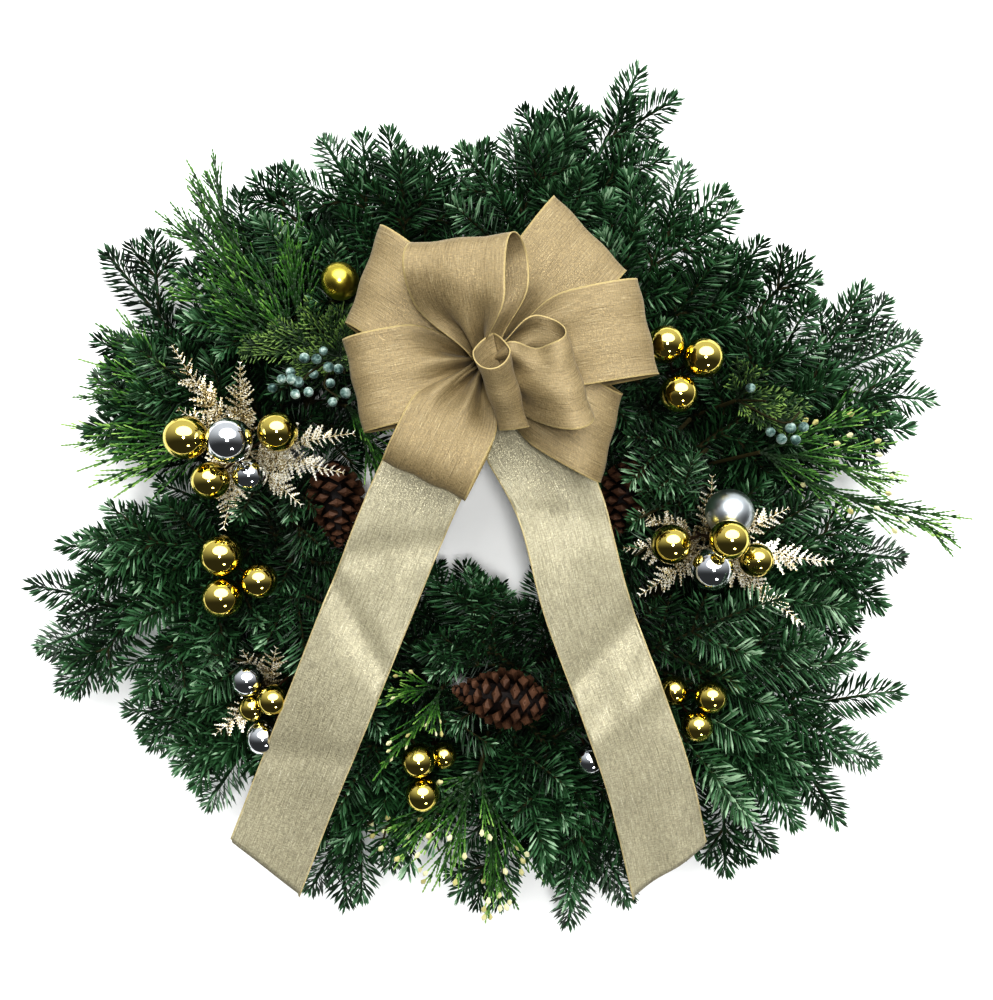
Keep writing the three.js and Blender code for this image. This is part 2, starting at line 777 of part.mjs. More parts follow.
// A loop leaves the knot on its upper side, turns at its far edge and comes back below.
function loopStations({ from, to, fullness }, width) {
  const knot = point(KNOT);
  const end = point(from).add(point(to)).multiplyScalar(0.5);
  const reach = end.distanceTo(knot);
  const axis = end.sub(knot).normalize();
  const edge = point(to).sub(point(from)).normalize();
  edge.addScaledVector(axis, -edge.dot(axis)).normalize();
  const rise = edge.clone().cross(axis);
  rise.multiplyScalar(Math.sign(rise.z));
  const stations = [];
  for (let i = 0; i <= RIBBON_STEPS; i += 1) {
    const angle = THREE.MathUtils.lerp(LOOP_START, 2 * Math.PI - LOOP_START, i / RIBBON_STEPS);
    const out = (1 - Math.cos(angle)) / 2;
    const middle = knot.clone().addScaledVector(axis, reach * out);
    middle.addScaledVector(rise, fullness / 2 * Math.sin(angle) * Math.pow(out, 0.4));
    const spread = THREE.MathUtils.lerp(LOOP_NECK, 1, THREE.MathUtils.smoothstep(out, 0.08, 0.72));
    stations.push({ middle, across: edge.clone().multiplyScalar(width / 2 * spread) });
  }
  return stations;
}

function tailStations(path) {
  const curve = new THREE.CatmullRomCurve3(path.map(point), false, 'catmullrom', 0.5);
  const stations = [];
  for (let i = 0; i <= RIBBON_STEPS; i += 1) {
    const share = i / RIBBON_STEPS;
    const across = curve.getTangentAt(share).cross(UP).normalize();
    const spread = THREE.MathUtils.lerp(TAIL_NECK, 1, THREE.MathUtils.smoothstep(share, 0, 0.22));
    across.multiplyScalar(RIBBON_WIDTH / 2 * spread);
    stations.push({ middle: curve.getPointAt(share), across });
  }
  return stations;
}

function buildBow() {
  const loops = LOOPS.map((loop) => loopStations(loop, RIBBON_WIDTH));
  loops.push(loopStations(KNOT_BAND, RIBBON_WIDTH * BAND_SHARE));
  const knot = point(KNOT);
  addNode('bow_loops', 'ribbon', [ball(knot, KNOT_RADIUS), ...loops.map(ribbon)]);
  loops.forEach((stations) => claimRibbon('bow_loops', stations));
  claim('bow_loops', knot, knot, KNOT_RADIUS);

  const tails = Object.values(TAILS).map(tailStations);
  const pinch = new THREE.BoxGeometry(PINCH.width, PINCH.height, PINCH.top - PINCH.bottom);
  pinch.translate(KNOT[0], TIE_Y, (PINCH.top + PINCH.bottom) / 2);
  addNode('bow_tails', 'ribbon', [solidOf(pinch), ...tails.map(ribbon)]);
  tails.forEach((stations) => claimRibbon('bow_tails', stations));

  const back = [-TIE_SPREAD, TIE_SPREAD].map((side) => new THREE.Vector3(KNOT[0] + side, TIE_Y, TIE_Z));
  const feet = [footOnRail(RAIL_INNER, 99, 1, WIRE_RADIUS), footOnRail(RAIL_INNER, 79, -1, WIRE_RADIUS)];
  const wire = [...feet[0], ...back, ...feet[1].reverse()];
  claimPath('bow_tie', wire, WIRE_RADIUS);
  addNode('bow_tie', 'tie', [wireAlong(wire, WIRE_RADIUS)]);
}

// Fir boughs. Each stem lies in a clamp, pointing along the ring, and sweeps out to its tip.
// Tips are [distance from the ring's middle, bearing, height]. A fork is a side twig whose
// number along the leader comes first, and whose tip is set where the others' are ruled.
const BOUGHS = [
  { slot: 'outer', clamp: 90, tip: [369, 69, 50], forks: [[1, 314, 62, 52], [0, 327, 78, 55]] },
  { slot: 'outer', clamp: 60, tip: [315, 30, 50], forks: [[1, 310, 42, 48]] },
  { slot: 'outer', clamp: 30, tip: [344, 13, 40], forks: [] },
  { slot: 'outer', clamp: 0, tip: [323, 339, 35], forks: [] },
  { slot: 'outer', clamp: 330, tip: [377, 310, 35], forks: [] },
  { slot: 'outer', clamp: 300, tip: [335, 273, 35], forks: [] },
  { slot: 'outer', clamp: 270, tip: [348, 247, 35], forks: [] },
  { slot: 'outer', clamp: 240, tip: [334, 217, 35], forks: [] },
  { slot: 'outer', clamp: 210, tip: [314, 186, 35], forks: [] },
  { slot: 'outer', clamp: 180, tip: [365, 146, 35], forks: [] },
  { slot: 'outer', clamp: 150, tip: [307, 119, 45], forks: [] },
  { slot: 'outer', clamp: 120, tip: [271, 97, 70], forks: [[1, 280, 87, 60]] },
  { slot: 'face', clamp: 30, tip: [314, 58, 50], forks: [] },
  { slot: 'face', clamp: 60, tip: [290, 84, 60], forks: [[1, 300, 74, 60]] },
  { slot: 'face', clamp: 90, tip: [311, 113, 50], forks: [[1, 282, 106, 60]] },
  { slot: 'face', clamp: 120, tip: [316, 136, 45], forks: [] },
  { slot: 'face', clamp: 150, tip: [325, 162, 40], forks: [] },
  { slot: 'face', clamp: 180, tip: [377, 199, 35], forks: [[1, 371, 205, 35]] },
  { slot: 'face', clamp: 210, tip: [334, 229, 35], forks: [] },
  { slot: 'face', clamp: 240, tip: [308, 257, 40], forks: [] },
  { slot: 'face', clamp: 270, tip: [350, 291, 40], forks: [[1, 355, 282, 35]] },
  { slot: 'face', clamp: 300, tip: [389, 327, 38], forks: [] },
  { slot: 'face', clamp: 330, tip: [351, 352, 38], forks: [] },
  { slot: 'face', clamp: 0, tip: [382, 20, 38], forks: [[1, 371, 26, 38]] },
  { slot: 'inner', clamp: 300, tip: [64, 236, 58], turn: -1, forks: [] },
  { slot: 'inner', clamp: 240, tip: [112, 254, 60], turn: 1, forks: [] },
  { slot: 'inner', clamp: 180, tip: [108, 212, 55], turn: 1, forks: [] },
  { slot: 'inner', clamp: 0, tip: [108, 332, 52], turn: -1, forks: [] },
  { slot: 'inner', clamp: 60, tip: [106, 28, 55], turn: -1, forks: [] },
  { slot: 'inner', clamp: 120, tip: [110, 103, 40], turn: -1, forks: [] },
];
const LEADER_TRIALS = { swing: [0, 12, -12, 22, 34], lift: [0, 8, -8, 16, 26] };
const TWIG_TRIALS = { shorter: [1, 0.82, 0.64, 0.48], lift: [0, 0.2, -0.16, 0.4, 0.65], swing: [0, 0.2, -0.2] };
const TWIG_SPREAD = { atRoot: 46, lessAtTip: 12 };
const TWIG_LENGTH = { atRoot: 0.47, lessAtTip: 0.28 };
const TWIG_RISE = { outer: [0.05, 0.1], face: [0.12, 0.2], inner: [0.12, 0.2] };
const CREST_SHARE = 0.6;
const ARCH = {
  outer: { reach: 40, lift: 16, crest: 6 },
  face: { reach: 36, lift: 44, crest: 42 },
  inner: { reach: 36, lift: 34, crest: 12 },
};

// A straight run through the clamp, then one Bezier curve to the tip.
class BoughCurve extends THREE.Curve {
  constructor(bough, lift, swing) {
    super();
    const { slot, clamp, tip } = bough;
    const turn = bough.turn ?? STEM_TURN[slot];
    const seat = around(STEM_SLOT[slot], clamp, STRAP_TOP + SEAT_GAP + STEM_RADIUS);
    const angle = degrees(clamp);
    const along = new THREE.Vector3(-Math.sin(angle), Math.cos(angle), 0).multiplyScalar(turn);
    this.cut = seat.clone().addScaledVector(along, -CUT_END);
    this.leave = seat.clone().addScaledVector(along, STRAIGHT);
    const shape = ARCH[slot];
    const end = around(...tip);
    const bend = this.leave.clone().addScaledVector(along, shape.reach + swing);
    bend.z += shape.lift + lift;
    const crest = bend.clone().lerp(end, CREST_SHARE);
    crest.z = tip[2] + shape.crest + lift;
    this.sweep = new THREE.CubicBezierCurve3(this.leave, bend, crest, end);
    this.span = this.sweep.getLength() + CUT_END + STRAIGHT;
    this.straightShare = (CUT_END + STRAIGHT) / this.span;
  }

  getPoint(share) {
    if (share < this.straightShare) {
      return this.cut.clone().lerp(this.leave, share / this.straightShare);
    }
    return this.sweep.getPoint((share - this.straightShare) / (1 - this.straightShare));
  }
}

function sampled(curve, count) {
  const points = [];
  for (let i = 0; i <= count; i += 1) {
    points.push(curve.getPoint(i / count));
  }
  return points;
}

// The first way to lay a bough's leader that keeps clear of all that is already placed.
function layLeader(name, bough) {
  let best = null;
  for (const swing of LEADER_TRIALS.swing) {
    for (const lift of LEADER_TRIALS.lift) {
      const curve = new BoughCurve(bough, lift, swing);
      const room = pathRoom(name, sampled(curve, LEADER_STEPS), STEM_RADIUS + STEM_MARGIN);
      if (!best || (room > best.room && best.room < CLEARANCE)) {
        best = { curve, room };
      }
    }
  }
  return best.curve;
}

// A side twig is bent up, down or sideways, then shortened, until it is clear.
function layTwig(name, root, heading, length) {
  const side = heading.clone().cross(UP).normalize();
  for (const shorter of TWIG_TRIALS.shorter) {
    for (const lift of TWIG_TRIALS.lift) {
      for (const swing of TWIG_TRIALS.swing) {
        const way = heading.clone().addScaledVector(UP, lift).addScaledVector(side, swing).normalize();
        const tip = root.clone().addScaledVector(way, length * shorter);
        const start = root.clone().addScaledVector(way, TWIG_ROOT);
        if (roomAround(name, start, tip, TWIG_RADIUS + STEM_MARGIN / 2) > CLEARANCE) {
          return tip;
        }
      }
    }
  }
  return null;
}

function layBoughs() {
  const boughs = BOUGHS.map((bough, index) => {
    const name = `fir_${bough.slot}_${String(bough.clamp).padStart(3, '0')}`;
    return { ...bough, name, random: randomStream(101 + index), twigs: [] };
  });
  for (const bough of boughs) {
    bough.curve = layLeader(bough.name, bough);
    claimPath(bough.name, sampled(bough.curve, LEADER_STEPS), STEM_RADIUS);
  }
  for (const bough of boughs) {
    const { name, curve, random } = bough;
    const wanted = [];
    const firstSide = random() < 0.5 ? 1 : -1;
    TWIG_SHARES[bough.slot].forEach((share, k) => {
      const fork = bough.forks.find(([number]) => number === k);
      if (fork) {
        wanted.push({ share, tip: around(...fork.slice(1)) });
        return;
      }
      const tangent = curve.getTangent(share);
      const side = tangent.clone().cross(UP).normalize();
      const opening = degrees(TWIG_SPREAD.atRoot - TWIG_SPREAD.lessAtTip * share);
      const way = k % 2 ? -firstSide : firstSide;
      const heading = tangent.multiplyScalar(Math.cos(opening)).addScaledVector(side, way * Math.sin(opening));
      const [rise, more] = TWIG_RISE[bough.slot];
      heading.z += rise + more * random();
      const shorter = TWIG_LENGTH.atRoot - TWIG_LENGTH.lessAtTip * share;
      const length = curve.span * shorter * (0.9 + 0.2 * random());
      wanted.push({ share, heading: heading.normalize(), length });
    });
    for (const { share, tip, heading, length } of wanted) {
      const root = curve.getPoint(share);
      const way = tip ? tip.clone().sub(root).normalize() : heading;
      const reach = tip ? tip.distanceTo(root) : length;
      const end = layTwig(name, root, way, reach);
      if (end) {
        bough.twigs.push({ root, tip: end });
        claim(name, root.clone().lerp(end, 0.05), end, TWIG_RADIUS);
      }
    }
  }
  return boughs;
}

// The corners of one ring of a stem, turned by phase about its heading.
function ringCorners(middle, tangent, radius, phase) {
  const side = tangent.clone().cross(UP).normalize();
  const rise = side.clone().cross(tangent);
  return [0, 1, 2, 3].map((k) => {
    const angle = phase + k * Math.PI / 2;
    return middle.clone().addScaledVector(side, Math.cos(angle) * radius)
      .addScaledVector(rise, Math.sin(angle) * radius);
  });
}

// Rings of a stem from its cut end to its tip, with a whorl of four needles at each of whorls.
function needledRings(name, curve, length, radiusAt, plain, whorls, phase) {
  const none = [null, null, null, null];
  const rings = plain.map((share) => ({ share, raised: [] }));
  for (const share of whorls) {
    [[], [0, 2], [1, 3], []].forEach((raised, i) => {
      rings.push({ share: share + i * NEEDLE_PITCH / length, raised });
    });
  }
  rings.sort((one, other) => one.share - other.share);
  return rings.map(({ share, raised }) => {
    const middle = curve.getPoint(share);
    const tangent = curve.getTangent(share);
    const corners = ringCorners(middle, tangent, radiusAt(share), phase);
    const needles = none.slice();
    for (const k of raised) {
      const outward = corners[k].clone().sub(middle).normalize();
      for (const lean of NEEDLE_LEANS) {
        const way = tangent.clone().multiplyScalar(lean).add(outward).normalize();
        const tip = corners[k].clone().addScaledVector(way, NEEDLE_LENGTH);
        if (!needles[k] && roomAround(name, corners[k], tip, NEEDLE_BERTH) > CLEARANCE) {
          needles[k] = tip;
          claim(name, corners[k], tip, NEEDLE_BERTH);
        }
      }
    }
    return { corners, needles };
  });
}

function buildBoughs() {
  for (const bough of layBoughs()) {
    const { name, curve, random } = bough;
    const leaderRadius = (share) => STEM_RADIUS * Math.min(1, 0.35 + (1 - share) * 1.1);
    const bends = [0, curve.straightShare, LEADER_BEND, ...TWIG_SHARES[bough.slot]];
    const whorls = WHORLS[bough.slot];
    const phase = (random() - 0.5) * LEADER_TURN;
    const rings = needledRings(name, curve, curve.span, leaderRadius, bends, whorls, phase);
    const solids = [needledStem(rings, curve.getPoint(1))];
    for (const { root, tip } of bough.twigs) {
      const twig = new THREE.LineCurve3(root, tip);
      const length = root.distanceTo(tip);
      const radiusAt = (share) => TWIG_RADIUS * (1 - 0.6 * share);
      const turn = random() * TWIG_TURN;
      solids.push(needledStem(needledRings(name, twig, length, radiusAt, [0], [TWIG_WHORL], turn), tip));
    }
    addNode(name, 'fir', solids);
  }
}

buildRing();
buildBow();
buildBallPicks();
buildFernPicks();
buildCones();
buildSprigs();
buildBoughs();

// The origin is under the middle of the whole wreath's outline.
const outline = new THREE.Box3().setFromObject(group);
const centre = outline.getCenter(new THREE.Vector3());
group.position.set(-centre.x, -centre.y, 0);

export default group;
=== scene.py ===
"""A fresh evergreen wreath lying face up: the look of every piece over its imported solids.

Lengths are millimetres in the layout of the wreath's source, whose ring is centred on
RING_CENTRE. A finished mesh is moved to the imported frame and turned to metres.
"""

import json
import logging
import math
from dataclasses import dataclass, field
from enum import Enum

import bpy
import numpy as np
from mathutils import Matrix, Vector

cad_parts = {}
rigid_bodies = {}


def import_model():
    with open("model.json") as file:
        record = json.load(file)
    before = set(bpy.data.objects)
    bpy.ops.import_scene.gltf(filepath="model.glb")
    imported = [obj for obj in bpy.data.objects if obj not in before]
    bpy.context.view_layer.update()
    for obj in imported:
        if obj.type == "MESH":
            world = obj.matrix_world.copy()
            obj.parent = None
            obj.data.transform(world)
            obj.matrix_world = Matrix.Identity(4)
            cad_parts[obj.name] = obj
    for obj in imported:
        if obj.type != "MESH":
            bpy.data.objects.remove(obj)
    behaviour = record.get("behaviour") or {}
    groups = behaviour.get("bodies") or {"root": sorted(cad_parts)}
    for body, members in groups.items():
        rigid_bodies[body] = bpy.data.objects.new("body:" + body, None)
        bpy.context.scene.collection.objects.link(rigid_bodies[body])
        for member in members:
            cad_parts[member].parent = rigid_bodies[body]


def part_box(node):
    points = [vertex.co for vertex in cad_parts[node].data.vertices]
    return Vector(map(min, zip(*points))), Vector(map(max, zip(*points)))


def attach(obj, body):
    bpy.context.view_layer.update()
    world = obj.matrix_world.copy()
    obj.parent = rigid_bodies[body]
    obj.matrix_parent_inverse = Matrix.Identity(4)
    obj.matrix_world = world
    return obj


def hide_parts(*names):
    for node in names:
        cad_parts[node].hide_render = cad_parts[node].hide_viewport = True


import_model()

LOG = logging.getLogger("wreath")
Model = tuple[np.ndarray, np.ndarray]
Spot = tuple[float, float, float]
UP = np.array([0.0, 0.0, 1.0])
GOLDEN_ANGLE = math.pi * (3 - math.sqrt(5))
RING_CENTRE = np.array([-20.0, -5.0, 0.0])
RAIL_INNER = 146.0
RAIL_OUTER = 180.0
RAIL_SIZE = 3.2
STRAP_TOP = 5.4
SEAT_GAP = 0.3
SEAT_RUN = 4.0
PICK_WIRE = 1.0
EYE_HEIGHT = 700.0
EYE_MIDDLE = (-2.8, -6.1)
EYE_HALF_WIDTH = 0.6045
PIXEL = 0.0012175


# Small mathematics


def unit(vectors: np.ndarray) -> np.ndarray:
    """Vectors scaled to length one, along the last axis."""
    return vectors / np.maximum(np.linalg.norm(vectors, axis=-1, keepdims=True), 1e-9)


def spot(place: Spot) -> np.ndarray:
    """A place as an array of numbers."""
    return np.array(place, dtype=float)


def reach_of(path: np.ndarray) -> float:
    """The length of a polyline."""
    return float(np.linalg.norm(np.diff(path, axis=0), axis=1).sum())


def around(radius: float, bearing: float, height: float) -> np.ndarray:
    """A point by its distance from the ring's middle, its bearing in degrees and its height."""
    angle = math.radians(bearing)
    return RING_CENTRE + np.array([radius * math.cos(angle), radius * math.sin(angle), height])


def foot_on_rail(radius: float, bearing: float, turn: int, thickness: float = PICK_WIRE) -> list[np.ndarray]:
    """Where a pick's wire lies along a rail before it climbs.

    Args:
        radius: The rail's radius.
        bearing: Where the wire leaves the rail, in degrees.
        turn: Which way it runs along the rail: 1 or -1.
        thickness: The wire's radius.

    Returns:
        The two ends of the stretch along the rail.
    """
    height = RAIL_SIZE + SEAT_GAP + thickness
    return [around(radius, bearing - turn * SEAT_RUN, height), around(radius, bearing, height)]


def smooth(value: np.ndarray, low: float, high: float) -> np.ndarray:
    """Smooth step from 0 at low to 1 at high."""
    share = np.clip((value - low) / (high - low), 0.0, 1.0)
    return share * share * (3 - 2 * share)


def linear(code: str) -> tuple[float, float, float, float]:
    """An sRGB hex colour as linear red, green, blue and alpha."""
    values = [int(code[i : i + 2], 16) / 255 for i in (1, 3, 5)]
    return (*(v / 12.92 if v <= 0.04045 else ((v + 0.055) / 1.055) ** 2.4 for v in values), 1.0)


def columns(places: np.ndarray, known: np.ndarray, values: np.ndarray) -> np.ndarray:
    """Rows of values read at new places between the known ones."""
    return np.stack([np.interp(places, known, values[:, k]) for k in range(3)], axis=1)


def resampled(points: np.ndarray, count: int) -> np.ndarray:
    """A path of count points at even steps along a polyline."""
    run = np.concatenate([[0.0], np.cumsum(np.linalg.norm(np.diff(points, axis=0), axis=1))])
    return columns(np.linspace(0, run[-1], count), run, points)


def rounded(points: np.ndarray, count: int) -> np.ndarray:
    """A smooth path through the corners of a polyline.

    Args:
        points: The corners.
        count: How many points the path has, at even steps.

    Returns:
        The path's points.
    """
    ends = np.vstack([2 * points[0] - points[1], points, 2 * points[-1] - points[-2]])
    t = np.linspace(0, 1, 12, endpoint=False)[:, None]
    fine = []
    for a, b, c, d in zip(ends, ends[1:], ends[2:], ends[3:]):
        square, cube = a - 2.5 * b + 2 * c - d / 2, 1.5 * (b - c) + (d - a) / 2
        fine.append(b + (c - a) * t / 2 + square * t**2 + cube * t**3)
    return resampled(np.vstack([*fine, points[-1:]]), count)


def frames(path: np.ndarray) -> tuple[np.ndarray, np.ndarray, np.ndarray]:
    """Unit vectors at each point of a path.

    Args:
        path: Its points.

    Returns:
        Tangent, side and rise, of which the side is level wherever it can be.
    """
    tangent = unit(np.gradient(path, axis=0))
    side = np.cross(tangent, UP)
    side[np.linalg.norm(side, axis=1) < 1e-3] = (1.0, 0.0, 0.0)
    side = unit(side)
    return tangent, side, np.cross(side, tangent)


# Meshes


@dataclass
class Shape:
    """Triangles gathered for one piece, with a finish number and a tone for each corner."""

    points: list[np.ndarray] = field(default_factory=list)
    faces: list[np.ndarray] = field(default_factory=list)
    finishes: list[np.ndarray] = field(default_factory=list)
    tones: list[np.ndarray] = field(default_factory=list)
    total: int = 0

    def add(self, body: Model, finish: int = 0, tone: np.ndarray | float = 0.5) -> None:
        """Add a body.

        Args:
            body: Its points and triangles.
            finish: Number of the piece's finish.
            tone: One number, or one for each corner.
        """
        points, faces = body
        self.points.append(points)
        self.faces.append(faces + self.total)
        self.finishes.append(np.full(len(faces), finish, dtype=np.int32))
        self.tones.append(np.broadcast_to(np.asarray(tone, dtype=float), (len(points),)))
        self.total += len(points)


def tube(path: np.ndarray, radii: np.ndarray | float, sides: int = 8) -> Model:
    """A closed tube along a path.

    Args:
        path: Points along its middle.
        radii: Its radius, or one for each point.
        sides: How many sides it has.

    Returns:
        Points and triangles.
    """
    count = len(path)
    _, side, rise = frames(path)
    radii = np.broadcast_to(np.asarray(radii, dtype=float), (count,))
    k = np.arange(sides)
    angle = k[:, None] * 2 * math.pi / sides
    ring = side[:, None] * np.cos(angle) + rise[:, None] * np.sin(angle)
    points = np.vstack([(path[:, None] + ring * radii[:, None, None]).reshape(-1, 3), path[:1], path[-1:]])
    start = np.arange(count - 1)[:, None] * sides
    a, b = (start + k).ravel(), (start + (k + 1) % sides).ravel()
    first, after, end = np.full(sides, count * sides), (k + 1) % sides, (count - 1) * sides
    walls = [(a, b, b + sides), (a, b + sides, a + sides)]
    caps = [(first, after, k), (first + 1, k + end, after + end)]
    return points, np.vstack([np.stack(three, 1) for three in walls + caps])[:, ::-1]


def copies(model: Model, origin: np.ndarray, axes: np.ndarray, sizes: np.ndarray) -> Model:
    """Copies of one modelled body, each turned, scaled and placed.

    Args:
        model: The body's points and triangles.
        origin: Where each copy's origin goes, one row a copy.
        axes: Each copy's own x, y and z axes, as rows.
        sizes: Each copy's scale along its own axes, one row a copy.

    Returns:
        Points and triangles of all copies.
    """
    points, faces = model
    placed = np.einsum("nvk,nkd->nvd", points[None] * sizes[:, None, :], axes) + origin[:, None, :]
    shift = np.arange(len(origin))[:, None, None] * len(points)
    return placed.reshape(-1, 3), (faces[None] + shift).reshape(-1, 3)


class Workbench:
    """Makes single bodies with Blender's own tools, and turns gathered shapes into pieces."""

    offset: np.ndarray = np.zeros(3)

    @staticmethod
    def start(kind: str, **sizes: object) -> None:
        """Select nothing, add a primitive with its place applied, and open it in edit mode.

        Args:
            kind: Which primitive, as in the operator's name.
            sizes: The operator's own settings.
        """
        bpy.ops.object.select_all(action="DESELECT")
        getattr(bpy.ops.mesh, f"primitive_{kind}_add")(**sizes)
        bpy.ops.object.transform_apply(location=True, rotation=True)
        bpy.ops.object.mode_set(mode="EDIT")

    @staticmethod
    def select_where(axis: int, low: float, high: float) -> None:
        """In edit mode, select the corners that lie between two values along an axis.

        Args:
            axis: 0 for x, 1 for y or 2 for z.
            low: The lower value.
            high: The higher value.
        """
        bpy.ops.object.mode_set(mode="OBJECT")
        mesh = bpy.context.object.data
        for part in (*mesh.edges, *mesh.polygons):
            part.select = False
        for vertex in mesh.vertices:
            vertex.select = low <= vertex.co[axis] <= high
        bpy.ops.object.mode_set(mode="EDIT")

    @staticmethod
    def extrude(move: Spot, scale: float | Spot = 1.0) -> None:
        """Extrude what is selected, and scale the new end."""
        bpy.ops.mesh.extrude_region_move(TRANSFORM_OT_translate={"value": move})
        if scale != 1.0:
            bpy.ops.transform.resize(value=scale)

    @staticmethod
    def taken() -> Model:
        """Take the active object's mesh in a fixed order, and delete the object.

        Returns:
            Its points and triangles.
        """
        bpy.ops.object.mode_set(mode="OBJECT")
        made = bpy.context.object
        mesh = made.data
        mesh.calc_loop_triangles()
        points = np.empty(len(mesh.vertices) * 3)
        mesh.vertices.foreach_get("co", points)
        faces = np.empty(len(mesh.loop_triangles) * 3, dtype=np.int32)
        mesh.loop_triangles.foreach_get("vertices", faces)
        bpy.data.objects.remove(made)
        bpy.data.meshes.remove(mesh)
        faces = np.array([np.roll(face, -face.argmin()) for face in faces.reshape(-1, 3)])
        return points.reshape(-1, 3), faces[np.lexsort(faces.T[::-1])]

    @classmethod
    def piece(
        cls, name: str, shape: Shape, finishes: list["Finish"], node: str, slot: str, faceted: bool = False
    ) -> bpy.types.Object:
        """Turn a gathered shape into a piece that stands for a CAD node and rides on the root body.

        Args:
            name: The piece's name.
            shape: Its bodies.
            finishes: Its finishes, by number.
            node: The CAD node that it replaces.
            slot: The record's material slot; not used.
            faceted: Whether its facets show.

        Returns:
            The new object.
        """
        points = (np.vstack(shape.points) + cls.offset) / 1000
        faces = np.vstack(shape.faces).astype(np.int32)
        mesh = bpy.data.meshes.new(name)
        mesh.vertices.add(len(points))
        mesh.vertices.foreach_set("co", points.astype(np.float32).ravel())
        mesh.loops.add(len(faces) * 3)
        mesh.loops.foreach_set("vertex_index", faces.ravel())
        mesh.polygons.add(len(faces))
        mesh.polygons.foreach_set("loop_start", np.arange(0, len(faces) * 3, 3, dtype=np.int32))
        mesh.polygons.foreach_set("material_index", np.concatenate(shape.finishes))
        mesh.polygons.foreach_set("use_smooth", np.full(len(faces), not faceted))
        tone = mesh.attributes.new("tone", "FLOAT", "POINT")
        tone.data.foreach_set("value", np.concatenate(shape.tones).astype(np.float32))
        mesh.update(calc_edges=True)
        for finish in finishes:
            mesh.materials.append(finish.material())
        made = bpy.data.objects.new(name, mesh)
        bpy.context.scene.collection.objects.link(made)
        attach(made, "root")
        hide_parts(node)
        LOG.info("%s: %d triangles", name, len(faces))
        return made


# Finishes


def fed(node: bpy.types.Node, settings: dict, links: dict) -> bpy.types.Node:
    """Give a node its settings and its incoming links.

    Args:
        node: The node.
        settings: Properties by name, input values by socket name or number, or a ramp's stops.
        links: Output sockets, or nodes for their first one, by the input that they feed.

    Returns:
        The node.
    """
    for name, value in settings.items():
        if name == "stops":
            elements = node.color_ramp.elements
            while len(elements) < len(value):
                elements.new(0.5)
            for element, (place, code) in zip(elements, value):
                element.position, element.color = place, linear(code)
        elif isinstance(name, int) or name in node.inputs:
            node.inputs[name].default_value = value
        else:
            setattr(node, name, value)
    for name, source in links.items():
        socket = source.outputs[0] if isinstance(source, bpy.types.Node) else source
        node.id_data.links.new(socket, node.inputs[name])
    return node


def add_node(
    tree: bpy.types.NodeTree, kind: str, settings: dict | None = None, links: dict | None = None
) -> bpy.types.Node:
    """Add one node with its settings and its incoming links."""
    return fed(tree.nodes.new(f"ShaderNode{kind}"), settings or {}, links or {})


def blank(name: str) -> tuple[bpy.types.Material, bpy.types.NodeTree, bpy.types.Node]:
    """A new material with its node tree and its principled shader."""
    material = bpy.data.materials.new(name)
    material.use_nodes = True
    return material, material.node_tree, material.node_tree.nodes["Principled BSDF"]


@dataclass(frozen=True)
class PlantFinish:
    """A plant's own skin: waxy leaf, dusty berry, young bark or dry cone wood.

    The tone attribute runs from dark (0) to pale (1): old against young or bloomed, and on
    needles and cones also painted shade against painted light. A fine mottle makes neighbours
    differ: 5 mm wide on leaves, 3 mm on berries, bark and wood. Bloom is the dusty sheen of a
    fresh leaf, and relief the depth in mm of the fibres of bark.
    """

    name: str
    stops: tuple[tuple[float, str], ...]
    roughness: float = 0.5
    bloom: float = 0.15
    mottle: float = 0.3
    grain: float = 180.0
    fibre: tuple[float, float] = (2.0, 0.5)
    shine: dict = field(default_factory=lambda: {"IOR": 1.45, "Sheen Roughness": 0.4})
    relief: float = 0.0

    def make(self) -> bpy.types.Material:
        """Make the skin, mottled over a few millimetres and lit by the tone attribute.

        Returns:
            The material.
        """
        material, tree, shader = blank(self.name)
        tone = add_node(tree, "Attribute", {"attribute_name": "tone"}).outputs["Fac"]
        place = add_node(tree, "TexCoord").outputs["Object"]
        look = {"Scale": self.grain, "Detail": self.fibre[0], "Roughness": self.fibre[1]}
        noise = add_node(tree, "TexNoise", look, {"Vector": place})
        spread = {"operation": "MULTIPLY_ADD", 1: self.mottle, 2: -self.mottle / 2}
        mottled = add_node(tree, "Math", spread, {0: noise})
        total = add_node(tree, "Math", {"operation": "ADD", "use_clamp": True}, {0: mottled, 1: tone})
        ramp = add_node(tree, "ValToRGB", {"stops": self.stops}, {"Fac": total})
        links = {"Base Color": ramp}
        if self.relief:
            rough = {"Strength": 0.35, "Distance": self.relief / 1000}
            links["Normal"] = add_node(tree, "Bump", rough, {"Height": noise})
        fed(shader, {"Roughness": self.roughness, "Sheen Weight": self.bloom, **self.shine}, links)
        return material


@dataclass(frozen=True)
class MetalFinish:
    """Metal coat: vacuum-plated balls that mirror the room, or enamelled and lacquered wire.

    The gloss varies: in clouds of 15 mm on a ball, and in drawn streaks of 2 mm on a wire.
    """

    name: str
    colour: str
    roughness: float
    metallic: float = 1.0
    scale: float = 60.0
    detail: float = 2.0
    spread: tuple[float, float] = (0.7, 1.3)

    def make(self) -> bpy.types.Material:
        """Make the coat, with a gloss that is faintly uneven.

        Returns:
            The material.
        """
        material, tree, shader = blank(self.name)
        place = add_node(tree, "TexCoord").outputs["Object"]
        cloud = add_node(tree, "TexNoise", {"Scale": self.scale, "Detail": self.detail}, {"Vector": place})
        low, high = (self.roughness * share for share in self.spread)
        gloss = add_node(tree, "MapRange", {"To Min": low, "To Max": high}, {"Value": cloud})
        coat = {"Base Color": linear(self.colour), "Metallic": self.metallic}
        fed(shader, coat, {"Roughness": gloss})
        return material


